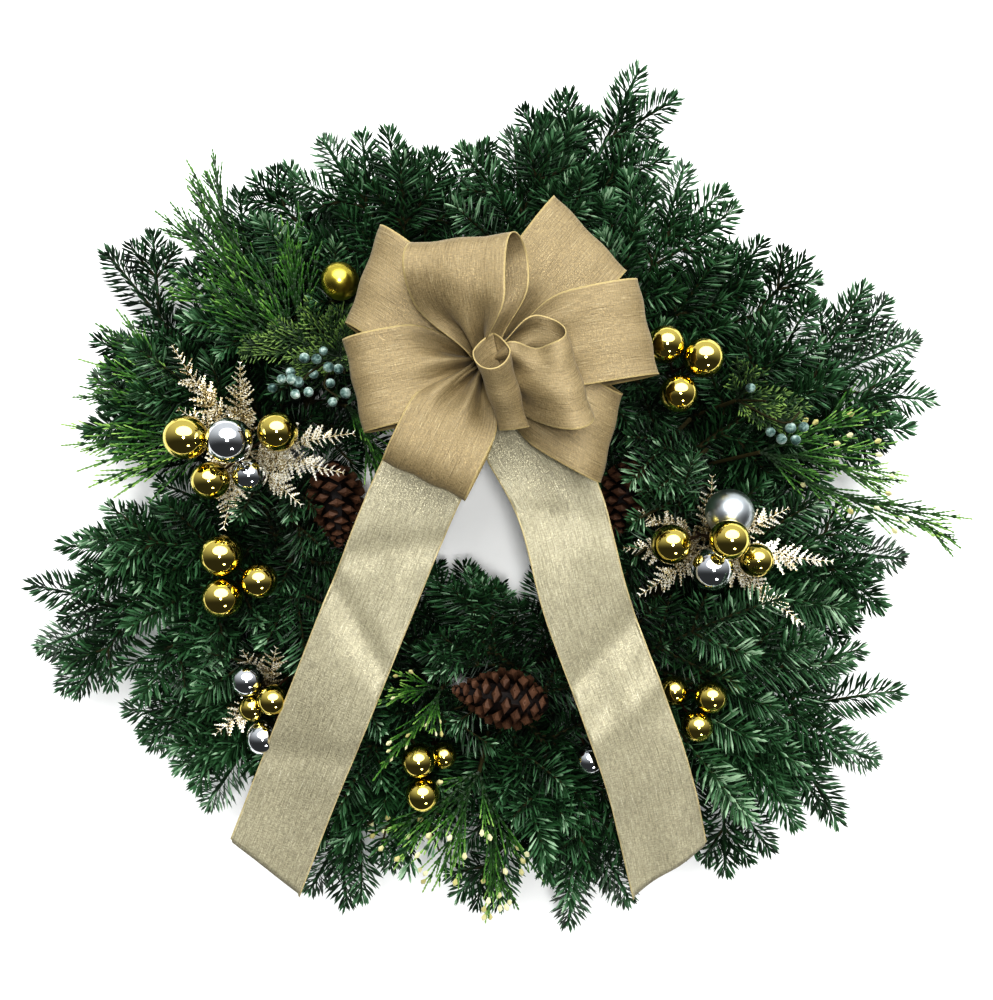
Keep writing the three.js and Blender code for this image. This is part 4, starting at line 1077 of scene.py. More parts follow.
@dataclass
class Sprig:
    """A spray of scale-leaved shoots on a woody stem from a rail, some with berries.

    Strings are twigs that carry berries. A ripe berry is given by where it is seen, in pixels
    from the picture's middle, and by its height. A proud spray lies on top of the fir, so it
    keeps the space above it, at these heights, free of needles.
    """

    name: str
    rail: float
    bearing: float
    turn: int
    root: Spot
    tips: tuple[Spot, ...]
    strings: tuple[tuple[Spot, ...], ...] = ()
    ripe: tuple[Spot, ...] = ()
    width: float = 36.0
    opening: float = 0.2
    step: float = 12.5
    buds: float = 0.0
    lit: float = 1.0
    proud: tuple[float, ...] = ()
    woody: float = 1.6
    arch: float = 0.05
    pitch: float = 3.3
    droop: float = 0.1
    # Widths of a scale leaf on the main shoot, on side shoots and on twiglets.
    leaf_widths: tuple[float, float, float] = (4.2, 3.8, 3.2)
    berry_radii: tuple[float, float] = (3.3, 4.1)
    berry_room: float = 5.0

    @staticmethod
    def leaf_model() -> Model:
        """Model a whorl of scale leaves one long along x: a flattened bud-shaped segment.

        Returns:
            Points and triangles.
        """
        sizes = {"vertices": 4, "radius1": 0.16, "radius2": 0.34, "depth": 0.7}
        Workbench.start("cone", **sizes, location=(0.35, 0, 0), rotation=(0, math.pi / 2, 0))
        Workbench.select_where(0, 0.6, 0.8)
        Workbench.extrude((0.42, 0, 0), (1.0, 0.35, 0.35))
        return Workbench.taken()

    @staticmethod
    def berry_model() -> Model:
        """Model a berry of radius one with a flat tip.

        Returns:
            Points and triangles.
        """
        Workbench.start("uv_sphere", segments=14, ring_count=10, radius=1.0)
        Workbench.select_where(2, 0.94, 1.1)
        bpy.ops.transform.translate(value=(0, 0, -0.12))
        return Workbench.taken()

    def chain(self, on: Growth, path: np.ndarray, thick: float, tone: tuple[float, float]) -> None:
        """Lay scale leaves along a path.

        Args:
            on: What the sprig is grown with.
            path: Points along the shoot.
            thick: Width of a segment at the shoot's root.
            tone: Tone at the root and at the tip.
        """
        length = reach_of(path)
        count = max(2, int(length / self.pitch))
        places = resampled(path, count + 1)
        x_axis = unit(np.diff(places, axis=0))
        side = unit(np.cross(x_axis, UP))
        turn = np.where(np.arange(count) % 2 == 0, 0.35, -0.35)[:, None]
        y_axis = unit(side + np.cross(side, x_axis) * turn)
        taper = np.linspace(1.0, 0.62, count)
        sizes = np.stack([np.full(count, length / count), thick * taper, thick * 0.8 * taper], 1)
        body = copies(on.leaf, places[:-1], np.stack([x_axis, y_axis, np.cross(x_axis, y_axis)], 1), sizes)
        on.shape.add(body, tone=np.repeat(np.linspace(*tone, count), len(on.leaf[0])))

    def spray(self, on: Growth, tip: np.ndarray) -> None:
        """Add one flat fan: a main shoot with alternate side shoots, themselves branched.

        Args:
            on: What the sprig is grown with.
            tip: Where the main shoot ends.
        """
        draw, free = on.random.uniform, on.room.free
        root = spot(self.root)
        length = float(np.linalg.norm(tip - root))
        heading = unit(tip - root)
        side = unit(np.cross(UP, heading))
        rise = np.cross(heading, side)
        share = np.linspace(0, 1, 30)[:, None]
        wave = np.sin(share * math.pi * 1.5 + draw(0, 6)) * length * 0.04 * np.sin(share * math.pi)
        path = root + heading * share * length + rise * self.arch * length * np.sin(math.pi * share)
        path = path + side * wave
        met = np.flatnonzero(~free(path[:, None])[12:])
        if len(met):
            path = path[: 12 + met[0]]
        self.chain(on, path, self.leaf_widths[0], (0.1 * self.lit, 0.75 * self.lit))
        tangent = frames(path)[0]
        count = max(6, int(length / self.step))
        for i in range(count):
            s = 0.06 + 0.88 * (i + draw(-0.2, 0.2)) / count
            k = int(s * 29)
            if k > len(path) - 2:
                break
            way = 1.0 if i % 2 else -1.0
            reach = self.width * np.interp(s, [0, 0.3, 0.7, 1.0], [1.0, 1.5, 1.25, 0.3]) * draw(0.7, 1.3)
            rising = draw(-0.15, 0.3)
            forward = unit(tangent[k] + side * way * self.opening * draw(0.7, 1.3) + rise * rising)
            t = np.linspace(0, 1, 9)[:, None]
            bend = tangent[k] * 0.3 - rise * self.droop + side * way * draw(-0.15, 0.2)
            branch = path[k] + forward * t * reach + bend * t**2 * reach
            clear = free(branch[:, None])
            if clear[2:6].all():
                lit = draw(0.6, 1.05) * self.lit
                self.branch(on, branch if clear.all() else branch[:6], forward, rise, reach, lit)

    def branch(
        self, on: Growth, path: np.ndarray, forward: np.ndarray, rise: np.ndarray, reach: float, lit: float
    ) -> None:
        """Add one side shoot with its twiglets and pollen cones.

        Args:
            on: What the sprig is grown with.
            path: Points along the side shoot.
            forward: Its heading.
            rise: The way out of the spray's plane.
            reach: Its full length.
            lit: How bright it is.
        """
        draw = on.random.uniform
        self.chain(on, path, self.leaf_widths[1], (0.15 * lit, 0.9 * lit))
        for twig in np.linspace(0.3, 0.85, 3):
            start = path[int(twig * (len(path) - 1))]
            for hand in (-1.0, 1.0):
                apart = unit(np.cross(forward, rise)) * hand * (self.opening + 0.05)
                out = unit(forward + apart + rise * draw(-0.1, 0.3))
                small = reach * (1.0 - twig) * draw(0.4, 0.8) + 4.0
                twiglet = start + out * np.linspace(0, 1, 4)[:, None] * small
                if on.room.free(twiglet[None])[0]:
                    self.chain(on, twiglet, self.leaf_widths[2], (0.35 * lit, 0.95 * lit))
                    if self.buds and draw() < self.buds:
                        axes = np.array([[out, np.cross(UP, out), UP]])
                        cone = copies(on.leaf, twiglet[-1:], axes, np.array([[4.4, 6.5, 6.5]]))
                        on.shape.add(cone, finish=3, tone=draw(0.4, 1.0))

    def berry(self, on: Growth, centre: np.ndarray, model: Model) -> None:
        """Add one berry of 7 to 8 mm, turned at random, with more bloom on one side, and its stalk.

        Args:
            on: What the sprig is grown with.
            centre: The berry's middle.
            model: The berry of radius one.
        """
        turned = unit(on.random.normal(size=3) + UP)
        side = unit(np.cross(turned, UP + 0.01))
        axes = np.array([[side, np.cross(turned, side), turned]])
        body = copies(model, centre[None], axes, np.full((1, 3), on.random.uniform(*self.berry_radii)))
        tone = np.where(model[0][:, 2] > 0.9, 0.0, 0.5 + 0.2 * model[0][:, 0])
        tone = tone + on.random.uniform(-0.15, 0.15)
        on.shape.add(body, finish=2, tone=np.clip(tone, 0, 1))
        on.room.block_ball(centre, self.berry_room)
        root = spot(self.root)
        stalk = np.array([centre, centre * 0.75 + root * 0.25 - UP * 8, root])
        on.shape.add(tube(rounded(stalk, 9), 0.55, 5), tone=0.35)

    def build(self, leaf: Model, berry: Model, room: Room, seed: int) -> None:
        """Model this sprig.

        Args:
            leaf: The scale-leaf segment.
            berry: The berry of radius one.
            room: Space for foliage.
            seed: Seed of its random numbers.
        """
        on = Growth(Shape(), leaf, np.random.default_rng(seed), room)
        root = spot(self.root)
        stem = np.array([*foot_on_rail(self.rail, self.bearing, self.turn, self.woody), root])
        on.shape.add(tube(resampled(stem, 12), self.woody, 7), finish=1, tone=0.6)
        for string in self.strings:
            on.shape.add(tube(rounded(np.vstack([root, string]), 12), 0.8, 6), finish=1, tone=0.4)
        for across, up, height in self.ripe:
            scale = PIXEL * (EYE_HEIGHT - height)
            x, y = EYE_MIDDLE[0] + across * scale, EYE_MIDDLE[1] + up * scale
            self.berry(on, np.array([x, y, height]), berry)
        for tip in self.tips:
            self.spray(on, spot(tip))
        room.block(np.vstack(on.shape.points), self.proud)
        kind = self.name.split("_")[0]
        finishes = [Finish[kind.upper()], Finish.TWIG, Finish.BERRY, Finish.BUD]
        Workbench.piece(f"scale_leaf_spray_{self.name}", on.shape, finishes, self.name, kind, faceted=True)


JUNIPER_HABIT = {"width": 13.0, "opening": 0.55, "step": 4.5}
SPRIGS = (
    Sprig(
        "cedar_1", RAIL_INNER, 141, 1, (-152, 108, 78),
        ((-225, 246, 70), (-247, 204, 72), (-243, 152, 76), (-156, 186, 84), (-236, 226, 66),
         (-152, 168, 80)),
        lit=0.84,
    ),
    Sprig(
        "cedar_2", RAIL_OUTER, 157.5, 1, (-204, 50, 66),
        ((-288, 118, 66), (-311, 78, 60), (-309, 38, 62), (-292, 10, 68)),
    ),
    Sprig(
        "cedar_3", RAIL_OUTER, 8, 1, (196, 30, 80), ((362, -44, 55), (300, 8, 64), (256, 56, 76)),
        width=30.0, buds=0.07, proud=(4.0, 10.0, 16.0),
    ),
    Sprig(
        "cedar_4", RAIL_OUTER, 274.5, -1, (-16, -214, 72), ((4, -314, 60), (-42, -278, 64), (-78, -258, 66)),
        buds=0.3, proud=(4.0, 10.0, 17.0, 25.0, 34.0),
    ),
    Sprig("cedar_5", RAIL_INNER, 146.5, 1, (-118, 66, 70), ((-82, 12, 80), (-70, 44, 84))),
    Sprig(
        "cedar_6", RAIL_INNER, 264, -1, (-46, -153, 60), ((-94, -145, 92), (-60, -178, 88)),
        buds=0.25, proud=(4.0, 10.0),
    ),
    Sprig(
        "juniper_left", RAIL_INNER, 135.5, 1, (-124, 104, 66),
        ((-104, 124, 98), (-142, 134, 86), (-116, 146, 88), (-170, 126, 84), (-196, 108, 86), (-120, 92, 94),
         (-150, 92, 90), (-94, 104, 92)),
        (((-137, 88, 102), (-146, 78, 102)), ((-128, 78, 104), (-118, 69, 104)), ((-113, 86, 104),)),
        ((-192, 142, 100), (-180, 141, 104), (-173, 149, 98), (-206, 128, 98), (-215, 121, 102),
         (-205, 121, 105), (-198, 118, 103), (-183, 126, 97), (-168, 133, 104), (-158, 131, 101),
         (-166, 117, 106), (-201, 106, 104), (-188, 108, 106), (-151, 107, 102), (-164, 98, 104),
         (-224, 112, 96)),
        **JUNIPER_HABIT,
    ),
    Sprig(
        "juniper_right", RAIL_OUTER, 21, 1, (180, 70, 74),
        ((182, 92, 96), (228, 40, 96), (206, 64, 88), (222, 56, 84)),
        (((193, 66, 102),), ((206, 50, 102), (218, 58, 102))),
        ((254, 112, 102), (274, 68, 102), (294, 72, 101), (307, 73, 103), (299, 60, 105), (285, 61, 98)),
        **JUNIPER_HABIT,
    ),
)


# Ribbon bow


@dataclass
class Ribbon:
    """A wired ribbon laid along stations that give its middle, its half width and its gathers."""

    width: float = 63.5
    thick: float = 0.5
    hem: float = 1.5
    lanes: int = 24
    under_shift: float = 200.0

    def lay(
        self,
        middles: np.ndarray,
        across: np.ndarray,
        gathers: np.ndarray,
        pleats: float,
        phase: float,
        lip: np.ndarray | None = None,
    ) -> tuple[np.ndarray, ...]:
        """Lay a closed band with a rolled wired edge on both sides.

        Args:
            middles: The ribbon's middle at each station.
            across: From its middle to its edge at each station.
            gathers: Height of its pleats at each station.
            pleats: How many pleats lie across it.
            phase: Where the pleats start.
            lip: How far the edge at its first corner sags at each station, if it does.

        Returns:
            Points, triangles, a UV pair in millimetres for each point, and the tone of each point.
        """
        count = len(middles)
        edge = 1 - self.hem * 2 / self.width
        hems = [-edge, edge, -edge * 0.995, edge * 0.995]
        lane = np.unique(np.concatenate([np.linspace(-1, 1, self.lanes + 1), hems]))
        run = np.concatenate([[0.0], np.cumsum(np.linalg.norm(np.diff(middles, axis=0), axis=1))])
        normal = unit(np.cross(np.gradient(middles, axis=0), across))
        fold = np.cos(lane[None] * math.pi * pleats + phase) * gathers[:, None]
        surface = middles[:, None] + across[:, None] * lane[None, :, None] + normal[:, None] * fold[..., None]
        if lip is not None:
            surface = surface + lip[:, None] * (np.clip(0.1 - lane, 0, 1.1)[None, :, None] / 1.1) ** 2.0
        skin = unit(np.cross(np.gradient(surface, axis=0), np.gradient(surface, axis=1)))
        body = np.where(np.abs(lane) > edge, self.thick * 1.9, self.thick)[None, :, None]
        layers = [surface + skin * body / 2, surface - skin * body / 2]
        uv = np.stack(np.broadcast_arrays(lane * self.width / 2, run[:, None]), -1).reshape(-1, 2)
        lanes = len(lane)
        low = count * lanes
        a = (np.arange(count - 1)[:, None] * lanes + np.arange(lanes - 1)).ravel()
        i, k = np.arange(count - 1) * lanes, np.arange(lanes - 1)
        last = (count - 1) * lanes
        quads = (
            (a, a + lanes, a + lanes + 1, a + 1),
            (a + 1 + low, a + lanes + 1 + low, a + lanes + low, a + low),
            (i, i + low, i + lanes + low, i + lanes),
            (i + lanes - 1, i + lanes * 2 - 1, i + lanes * 2 - 1 + low, i + lanes - 1 + low),
            (k, k + 1, k + 1 + low, k + low),
            (k + last, k + low + last, k + 1 + low + last, k + 1 + last),
        )
        every = np.vstack([np.stack(quad, 1) for quad in quads])
        tone = np.tile(np.where(np.abs(lane) > edge, 0.65, 0.0), count * 2)
        return (
            np.vstack([layer.reshape(-1, 3) for layer in layers]),
            np.vstack([every[:, [0, 1, 2]], every[:, [0, 2, 3]]]),
            np.vstack([uv, uv + (self.under_shift, 0.0)]),
            tone,
        )


@dataclass
class Bow:
    """Hand-tied bow: eight loops and a small centre loop over the knot, two tails and the tie wire.

    A loop is given by the two corners of its far fold, its fullness, its roll in degrees and
    where its upper edge sags, if it does. A rolled loop turns one side to the eye, so that its
    inside shows. A crease is where it crosses a tail, how far it leans and how deep it is.
    """

    room: Room
    knot: Spot = (-11, 93, 127)
    loops: tuple = (
        ((-107, 116, 132), (-83, 184, 132), 34, 0),
        ((-108, 104, 136), (-94, 40, 136), 34, 0),
        ((-81, 21, 138), (-24, -6, 138), 36, 0),
        ((69, 6, 134), (84, 67, 134), 34, -14),
        ((107, 79, 143), (93, 144, 143), 32, 0),
        ((37, 204, 134), (87, 152, 134), 24, 4),
        ((-59, 160, 168), (8, 167, 168), 38, -34),
        ((42, 102, 162), (60, 45, 162), 36, 38, 2.0),
    )
    centre_top: Spot = (-6.0, 91.0, 168)
    centre_low: Spot = (9.0, 42.0, 150)
    # Each tail: its middle line, how far its two edges run on past the end, its creases, its seed.
    tails: tuple = (
        (
            ((-14, 88, 110), (-36, 50, 109), (-64, -8, 109), (-93, -78, 107), (-123, -152, 101),
             (-150, -216, 94), (-175, -280, 87)),
            (12.0, -12.0), ((0.36, 0.05, 2.0), (0.52, -0.07, 3.0), (0.77, 0.03, 2.4)), 41,
        ),
        (
            ((-8, 88, 110), (12, 48, 110), (42, -8, 110), (61, -78, 108), (88, -152, 102), (110, -216, 96),
             (127, -284, 87)),
            (-16.0, 16.0),
            ((0.3, -0.04, 2.2), (0.56, 0.045, 3.2), (0.68, 0.045, -3.0), (0.86, 0.03, 2.0)), 42,
        ),
    )
    loop_start: float = 0.2
    neck: float = 0.2
    steps: int = 48
    first_seed: int = 11
    # Heights about the ribbon that no needle enters.
    lifts: tuple[float, ...] = (-2.0, 0.0, 2.0, 5.0, 8.0, 11.0, 15.0, 20.0, 26.0)

    def loop(self, ribbon: Ribbon, spec: tuple, seed: int) -> tuple[np.ndarray, ...]:
        """One loop, out from the knot, round its far fold and back below.

        Args:
            ribbon: The ribbon that is laid.
            spec: The loop, as in the field loops.
            seed: Seed of its pleats.

        Returns:
            What Ribbon.lay returns.
        """
        start, stop, fullness, roll = spot(spec[0]), spot(spec[1]), spec[2], math.radians(spec[3])
        end = (start + stop) / 2
        knot = spot(self.knot) + UP * (end[2] - 150) * 0.7
        reach = float(np.linalg.norm(end - knot))
        axis = (end - knot) / reach
        flat = (stop - start) / 2
        edge = unit(flat - axis * flat.dot(axis))
        rise = np.cross(edge, axis)
        rise = rise * np.sign(rise[2])
        near_edge = edge * math.cos(roll) - rise * math.sin(roll)
        bulge = rise * math.cos(roll) + edge * math.sin(roll)
        draw = np.random.default_rng(seed).uniform
        angle = np.linspace(self.loop_start, 2 * math.pi - self.loop_start, self.steps + 1)
        out = (1 - np.cos(angle)) / 2
        middle = knot + axis * (reach * out)[:, None]
        middle = middle + bulge * (fullness / 2 * np.sin(angle) * out**0.35)[:, None]
        spread = self.neck + (1 - self.neck) * smooth(out, 0.02, 0.6)
        turned = smooth(out, 0.1, 0.95)[:, None]
        across = near_edge * (ribbon.width / 2 * spread)[:, None] * (1 - turned) + flat * turned
        gathers = 0.1 * ribbon.width * (1 - spread) ** 0.75 + 0.5
        wave = np.sin(out * 5 + draw(0, 6)) * 1.2 * out * (1 - out) * 2
        lip = None
        if len(spec) > 4:
            # The front layer's upper edge sags into the loop, past its middle.
            sag = np.exp(-(((angle - spec[4]) / 0.42) ** 2))[:, None]
            lip = sag * (edge * np.sign(edge.dot(flat)) * 11.0 - bulge * 12.0)
        return ribbon.lay(middle + bulge * wave[:, None], across, gathers, draw(1.9, 2.5), draw(0, 6.28), lip)

    def centre_loop(self, ribbon: Ribbon) -> tuple[np.ndarray, ...]:
        """The small loop over the knot: a tapered roll of ribbon, open to the eye at its top.

        Args:
            ribbon: The ribbon that is laid.

        Returns:
            What Ribbon.lay returns.
        """
        top, low = spot(self.centre_top), spot(self.centre_low)
        angle = np.linspace(0.0, 2 * math.pi * 0.99, self.steps + 1)[:, None] + math.pi / 2
        wide, high = np.cos(angle), np.sin(angle)
        pinch = np.sqrt(1 - 0.86 * np.clip(high, 0, 1))
        rim = top + wide * pinch * (11.5, 0, 0) + high * (1.0, 13.0, -9.0)
        foot = low + wide * (9.5, 1.0, 0) + high * (0, 1.0, -4.0)
        return ribbon.lay((rim + foot) / 2, (rim - foot) / 2, np.full(self.steps + 1, 0.5), 2.0, 0.4)

    def tail(
        self, ribbon: Ribbon, path: tuple, slant: tuple, creases: tuple, seed: int
    ) -> tuple[np.ndarray, ...]:
        """One tail, from the pinch under the knot down to its slanted cut.

        Args:
            ribbon: The ribbon that is laid.
            path: Points along its middle.
            slant: How far its two edges run on past the path's end.
            creases: Its creases.
            seed: Seed of its ripples.

        Returns:
            What Ribbon.lay returns.
        """
        stations = self.steps * 2 + 1
        fine = rounded(spot(path), stations)
        share = np.linspace(0, 1, stations)
        tangent, side, _ = frames(fine)
        spread = self.neck + (1 - self.neck) * smooth(share, 0.0, 0.15)
        draw = np.random.default_rng(seed).uniform
        twist = UP * (np.sin(share * 7 + draw(0, 6)) * 0.07)[:, None]
        across = (side + twist) * (ribbon.width / 2 * spread)[:, None]
        ripple = UP * (np.sin(share * 15 + draw(0, 6)) * 2.2 * smooth(share, 0.15, 0.4))[:, None]
        gathers = 4.0 * (1 - spread) + 1.5 * np.sin(share * 9 + draw(0, 6)) ** 2
        points, faces, uv, tone = ribbon.lay(fine + ripple, across, gathers, 1.4, draw(0, 6.28))
        # The cut: each lane runs on, or stops short, at its own length.
        lanes = len(points) // 2 // stations
        lane = np.tile(np.linspace(-1, 1, lanes), stations * 2)
        station = np.tile(np.repeat(share, lanes), 2)
        extra = np.interp(lane, [-1, 1], slant) * np.clip((station - 0.85) / 0.15, 0, 1)
        points = points + tangent[-1] * extra[:, None]
        for place, lean, depth in creases:
            points = points - UP * (depth * np.exp(-(((station - place - lean * lane) / 0.03) ** 2)))[:, None]
        return points, faces, uv + np.stack([np.zeros(len(extra)), extra], 1), tone

    def ribbon_piece(self, name: str, parts: list[tuple], finish: Finish, node: str) -> bpy.types.Object:
        """Join laid ribbon into one piece with its UV map, and note its space.

        Args:
            name: The piece's name.
            parts: What Ribbon.lay returned for each part.
            finish: The ribbon's finish.
            node: The CAD node that it replaces.

        Returns:
            The piece.
        """
        shape = Shape()
        for points, faces, _, tone in parts:
            shape.add((points, faces), tone=tone)
            # Half-way points close the gaps between stations, so that no needle comes through.
            self.room.block(np.vstack([points, points[faces].mean(1)]), self.lifts)
        made = Workbench.piece(name, shape, [finish], node, "ribbon")
        mesh = made.data
        layer = mesh.uv_layers.new(name="ribbon")
        corners = np.empty(len(mesh.loops), dtype=np.int32)
        mesh.loops.foreach_get("vertex_index", corners)
        coordinates = np.vstack([part[2] for part in parts])
        layer.data.foreach_set("uv", coordinates[corners].astype(np.float32).ravel())
        return made

    def build(self) -> None:
        """Model the loops, the tails and the tie wire."""
        ribbon = Ribbon()
        loops = [self.loop(ribbon, spec, self.first_seed + i) for i, spec in enumerate(self.loops)]
        loops.append(self.centre_loop(Ribbon(lanes=20)))
        tails = [self.tail(ribbon, *spec) for spec in self.tails]
        looped = self.ribbon_piece("ribbon_loops", loops, Finish.LOOP_RIBBON, "bow_loops")
        tailed = self.ribbon_piece("ribbon_tails", tails, Finish.TAIL_RIBBON, "bow_tails")
        self.build_tie()

    def build_tie(self) -> None:
        """Model the florist wire that goes round the knot's back and down to the inner rail."""
        left, right = foot_on_rail(RAIL_INNER, 99, 1), foot_on_rail(RAIL_INNER, 79, -1)
        path = np.array([*left, (-15.0, 88.0, 106.5), (-7.0, 88.0, 106.5), *right[::-1]])
        shape = Shape()
        shape.add(tube(resampled(path, 60), PICK_WIRE))
        Workbench.piece("tie_wire", shape, [Finish.PICK_WIRE], "bow_tie", "tie")


# Fir boughs


class Slot(Enum):
    """Where a stem lies in its clamp.

    Its radius and turn there, its leader's arch, where side twigs leave, and how they rise.
    """

    OUTER = (172.5, -1, (40, 16, 6), (0.4, 0.58, 0.76), (0.05, 0.1))
    FACE = (163.0, 1, (36, 44, 42), (0.44, 0.68), (0.12, 0.2))
    INNER = (153.5, 1, (36, 34, 12), (0.44, 0.68), (0.12, 0.2))

    def __init__(self, radius: float, turn: int, arch: tuple, shares: tuple, rise: tuple) -> None:
        """Name the parts of the value."""
        self.radius, self.turn, self.arch, self.shares, self.rise = radius, turn, arch, shares, rise


@dataclass(frozen=True)
class Bough:
    """A noble fir bough: its slot, its clamp's bearing, and its tip by distance, bearing and height.

    A fork is a side twig whose number along the leader comes first, with a tip of its own.
    """

    slot: Slot
    clamp: int
    tip: Spot
    forks: tuple[tuple[float, ...], ...] = ()
    turn: int = 0

    def name(self) -> str:
        """Which bough it is, in its piece's and its CAD node's name."""
        return f"{self.slot.name.lower()}_{self.clamp:03d}"


BOUGHS = (
    Bough(Slot.OUTER, 90, (369, 69, 50), ((1, 314, 62, 52), (0, 327, 78, 55))),
    Bough(Slot.OUTER, 60, (315, 30, 50), ((1, 310, 42, 48),)),
    Bough(Slot.OUTER, 30, (344, 13, 40)),
    Bough(Slot.OUTER, 0, (323, 339, 35)),
    Bough(Slot.OUTER, 330, (377, 310, 35)),
    Bough(Slot.OUTER, 300, (335, 273, 35)),
    Bough(Slot.OUTER, 270, (348, 247, 35)),
    Bough(Slot.OUTER, 240, (334, 217, 35)),
    Bough(Slot.OUTER, 210, (314, 186, 35)),
    Bough(Slot.OUTER, 180, (365, 146, 35)),
    Bough(Slot.OUTER, 150, (307, 119, 45)),
    Bough(Slot.OUTER, 120, (271, 97, 70), ((1, 280, 87, 60),)),
    Bough(Slot.FACE, 30, (314, 58, 50)),
    Bough(Slot.FACE, 60, (290, 84, 60), ((1, 300, 74, 60),)),
    Bough(Slot.FACE, 90, (311, 113, 50), ((1, 282, 106, 60),)),
    Bough(Slot.FACE, 120, (316, 136, 45)),
    Bough(Slot.FACE, 150, (325, 162, 40)),
    Bough(Slot.FACE, 180, (377, 199, 35), ((1, 371, 205, 35),)),
    Bough(Slot.FACE, 210, (334, 229, 35)),
    Bough(Slot.FACE, 240, (308, 257, 40)),
    Bough(Slot.FACE, 270, (350, 291, 40), ((1, 355, 282, 35),)),
    Bough(Slot.FACE, 300, (389, 327, 38)),
    Bough(Slot.FACE, 330, (351, 352, 38)),
    Bough(Slot.FACE, 0, (382, 20, 38), ((1, 371, 26, 38),)),
    Bough(Slot.INNER, 300, (64, 236, 58), turn=-1),
    Bough(Slot.INNER, 240, (112, 254, 60), turn=1),
    Bough(Slot.INNER, 180, (108, 212, 55), turn=1),
    Bough(Slot.INNER, 0, (108, 332, 52), turn=-1),
    Bough(Slot.INNER, 60, (106, 28, 55), turn=-1),
    Bough(Slot.INNER, 120, (110, 103, 40), turn=-1),
)


class DrawStream:
    """The source's own seeded stream of numbers between 0 and 1."""

    def __init__(self, seed: int) -> None:
        """Start the stream at a seed."""
        self.state = seed

    def __call__(self) -> float:
        """Draw the next number.

        Returns:
            The number.
        """
        mask = 0xFFFFFFFF
        self.state = (self.state + 0x6D2B79F5) & mask
        mixed = ((self.state ^ (self.state >> 15)) * (self.state | 1)) & mask
        mixed ^= (mixed + ((mixed ^ (mixed >> 7)) * (mixed | 61) & mask)) & mask
        return ((mixed ^ (mixed >> 14)) & mask) / 2**32


class Leader:
    """The source's leader curve: straight through the clamp, then one Bezier curve to the tip."""

    cut_end = 12.0
    straight = 14.0
    stem_radius = 3.0
    crest_share = 0.6

    def __init__(self, bough: Bough, lift: float, swing: float) -> None:
        """Lay the curve for one trial.

        Args:
            bough: The bough that it leads.
            lift: How much higher its bend lies.
            swing: How much farther out its bend lies.
        """
        slot = bough.slot
        seat = around(slot.radius, bough.clamp, STRAP_TOP + SEAT_GAP + self.stem_radius)
        angle = math.radians(bough.clamp)
        along = np.array([-math.sin(angle), math.cos(angle), 0.0]) * (bough.turn or slot.turn)
        self.cut = seat - along * self.cut_end
        leave = seat + along * self.straight
        reach, rise, crest_rise = slot.arch
        end = around(*bough.tip)
        bend = leave + along * (reach + swing) + UP * (rise + lift)
        crest = bend + (end - bend) * self.crest_share
        crest[2] = bough.tip[2] + crest_rise + lift
        self.corners = np.array([leave, bend, crest, end])
        self.span = reach_of(self.bezier(np.linspace(0, 1, 201))) + self.cut_end + self.straight
        self.straight_share = (self.cut_end + self.straight) / self.span

    def bezier(self, t: np.ndarray) -> np.ndarray:
        """Points of the curved part."""
        t = t[:, None]
        a, b, c, d = self.corners
        return a * (1 - t) ** 3 + b * 3 * t * (1 - t) ** 2 + c * 3 * t**2 * (1 - t) + d * t**3

    def at(self, *shares: float) -> np.ndarray:
        """Points of the whole leader.

        Args:
            shares: Where they lie, from 0 at the cut to 1 at the tip.

        Returns:
            One row a point.
        """
        places = np.array(shares, dtype=float)
        low = np.minimum(places / self.straight_share, 1.0)[:, None]
        straight = self.cut + (self.corners[0] - self.cut) * low
        curved = self.bezier(np.clip((places - self.straight_share) / (1 - self.straight_share), 0, 1))
        return np.where((places < self.straight_share)[:, None], straight, curved)


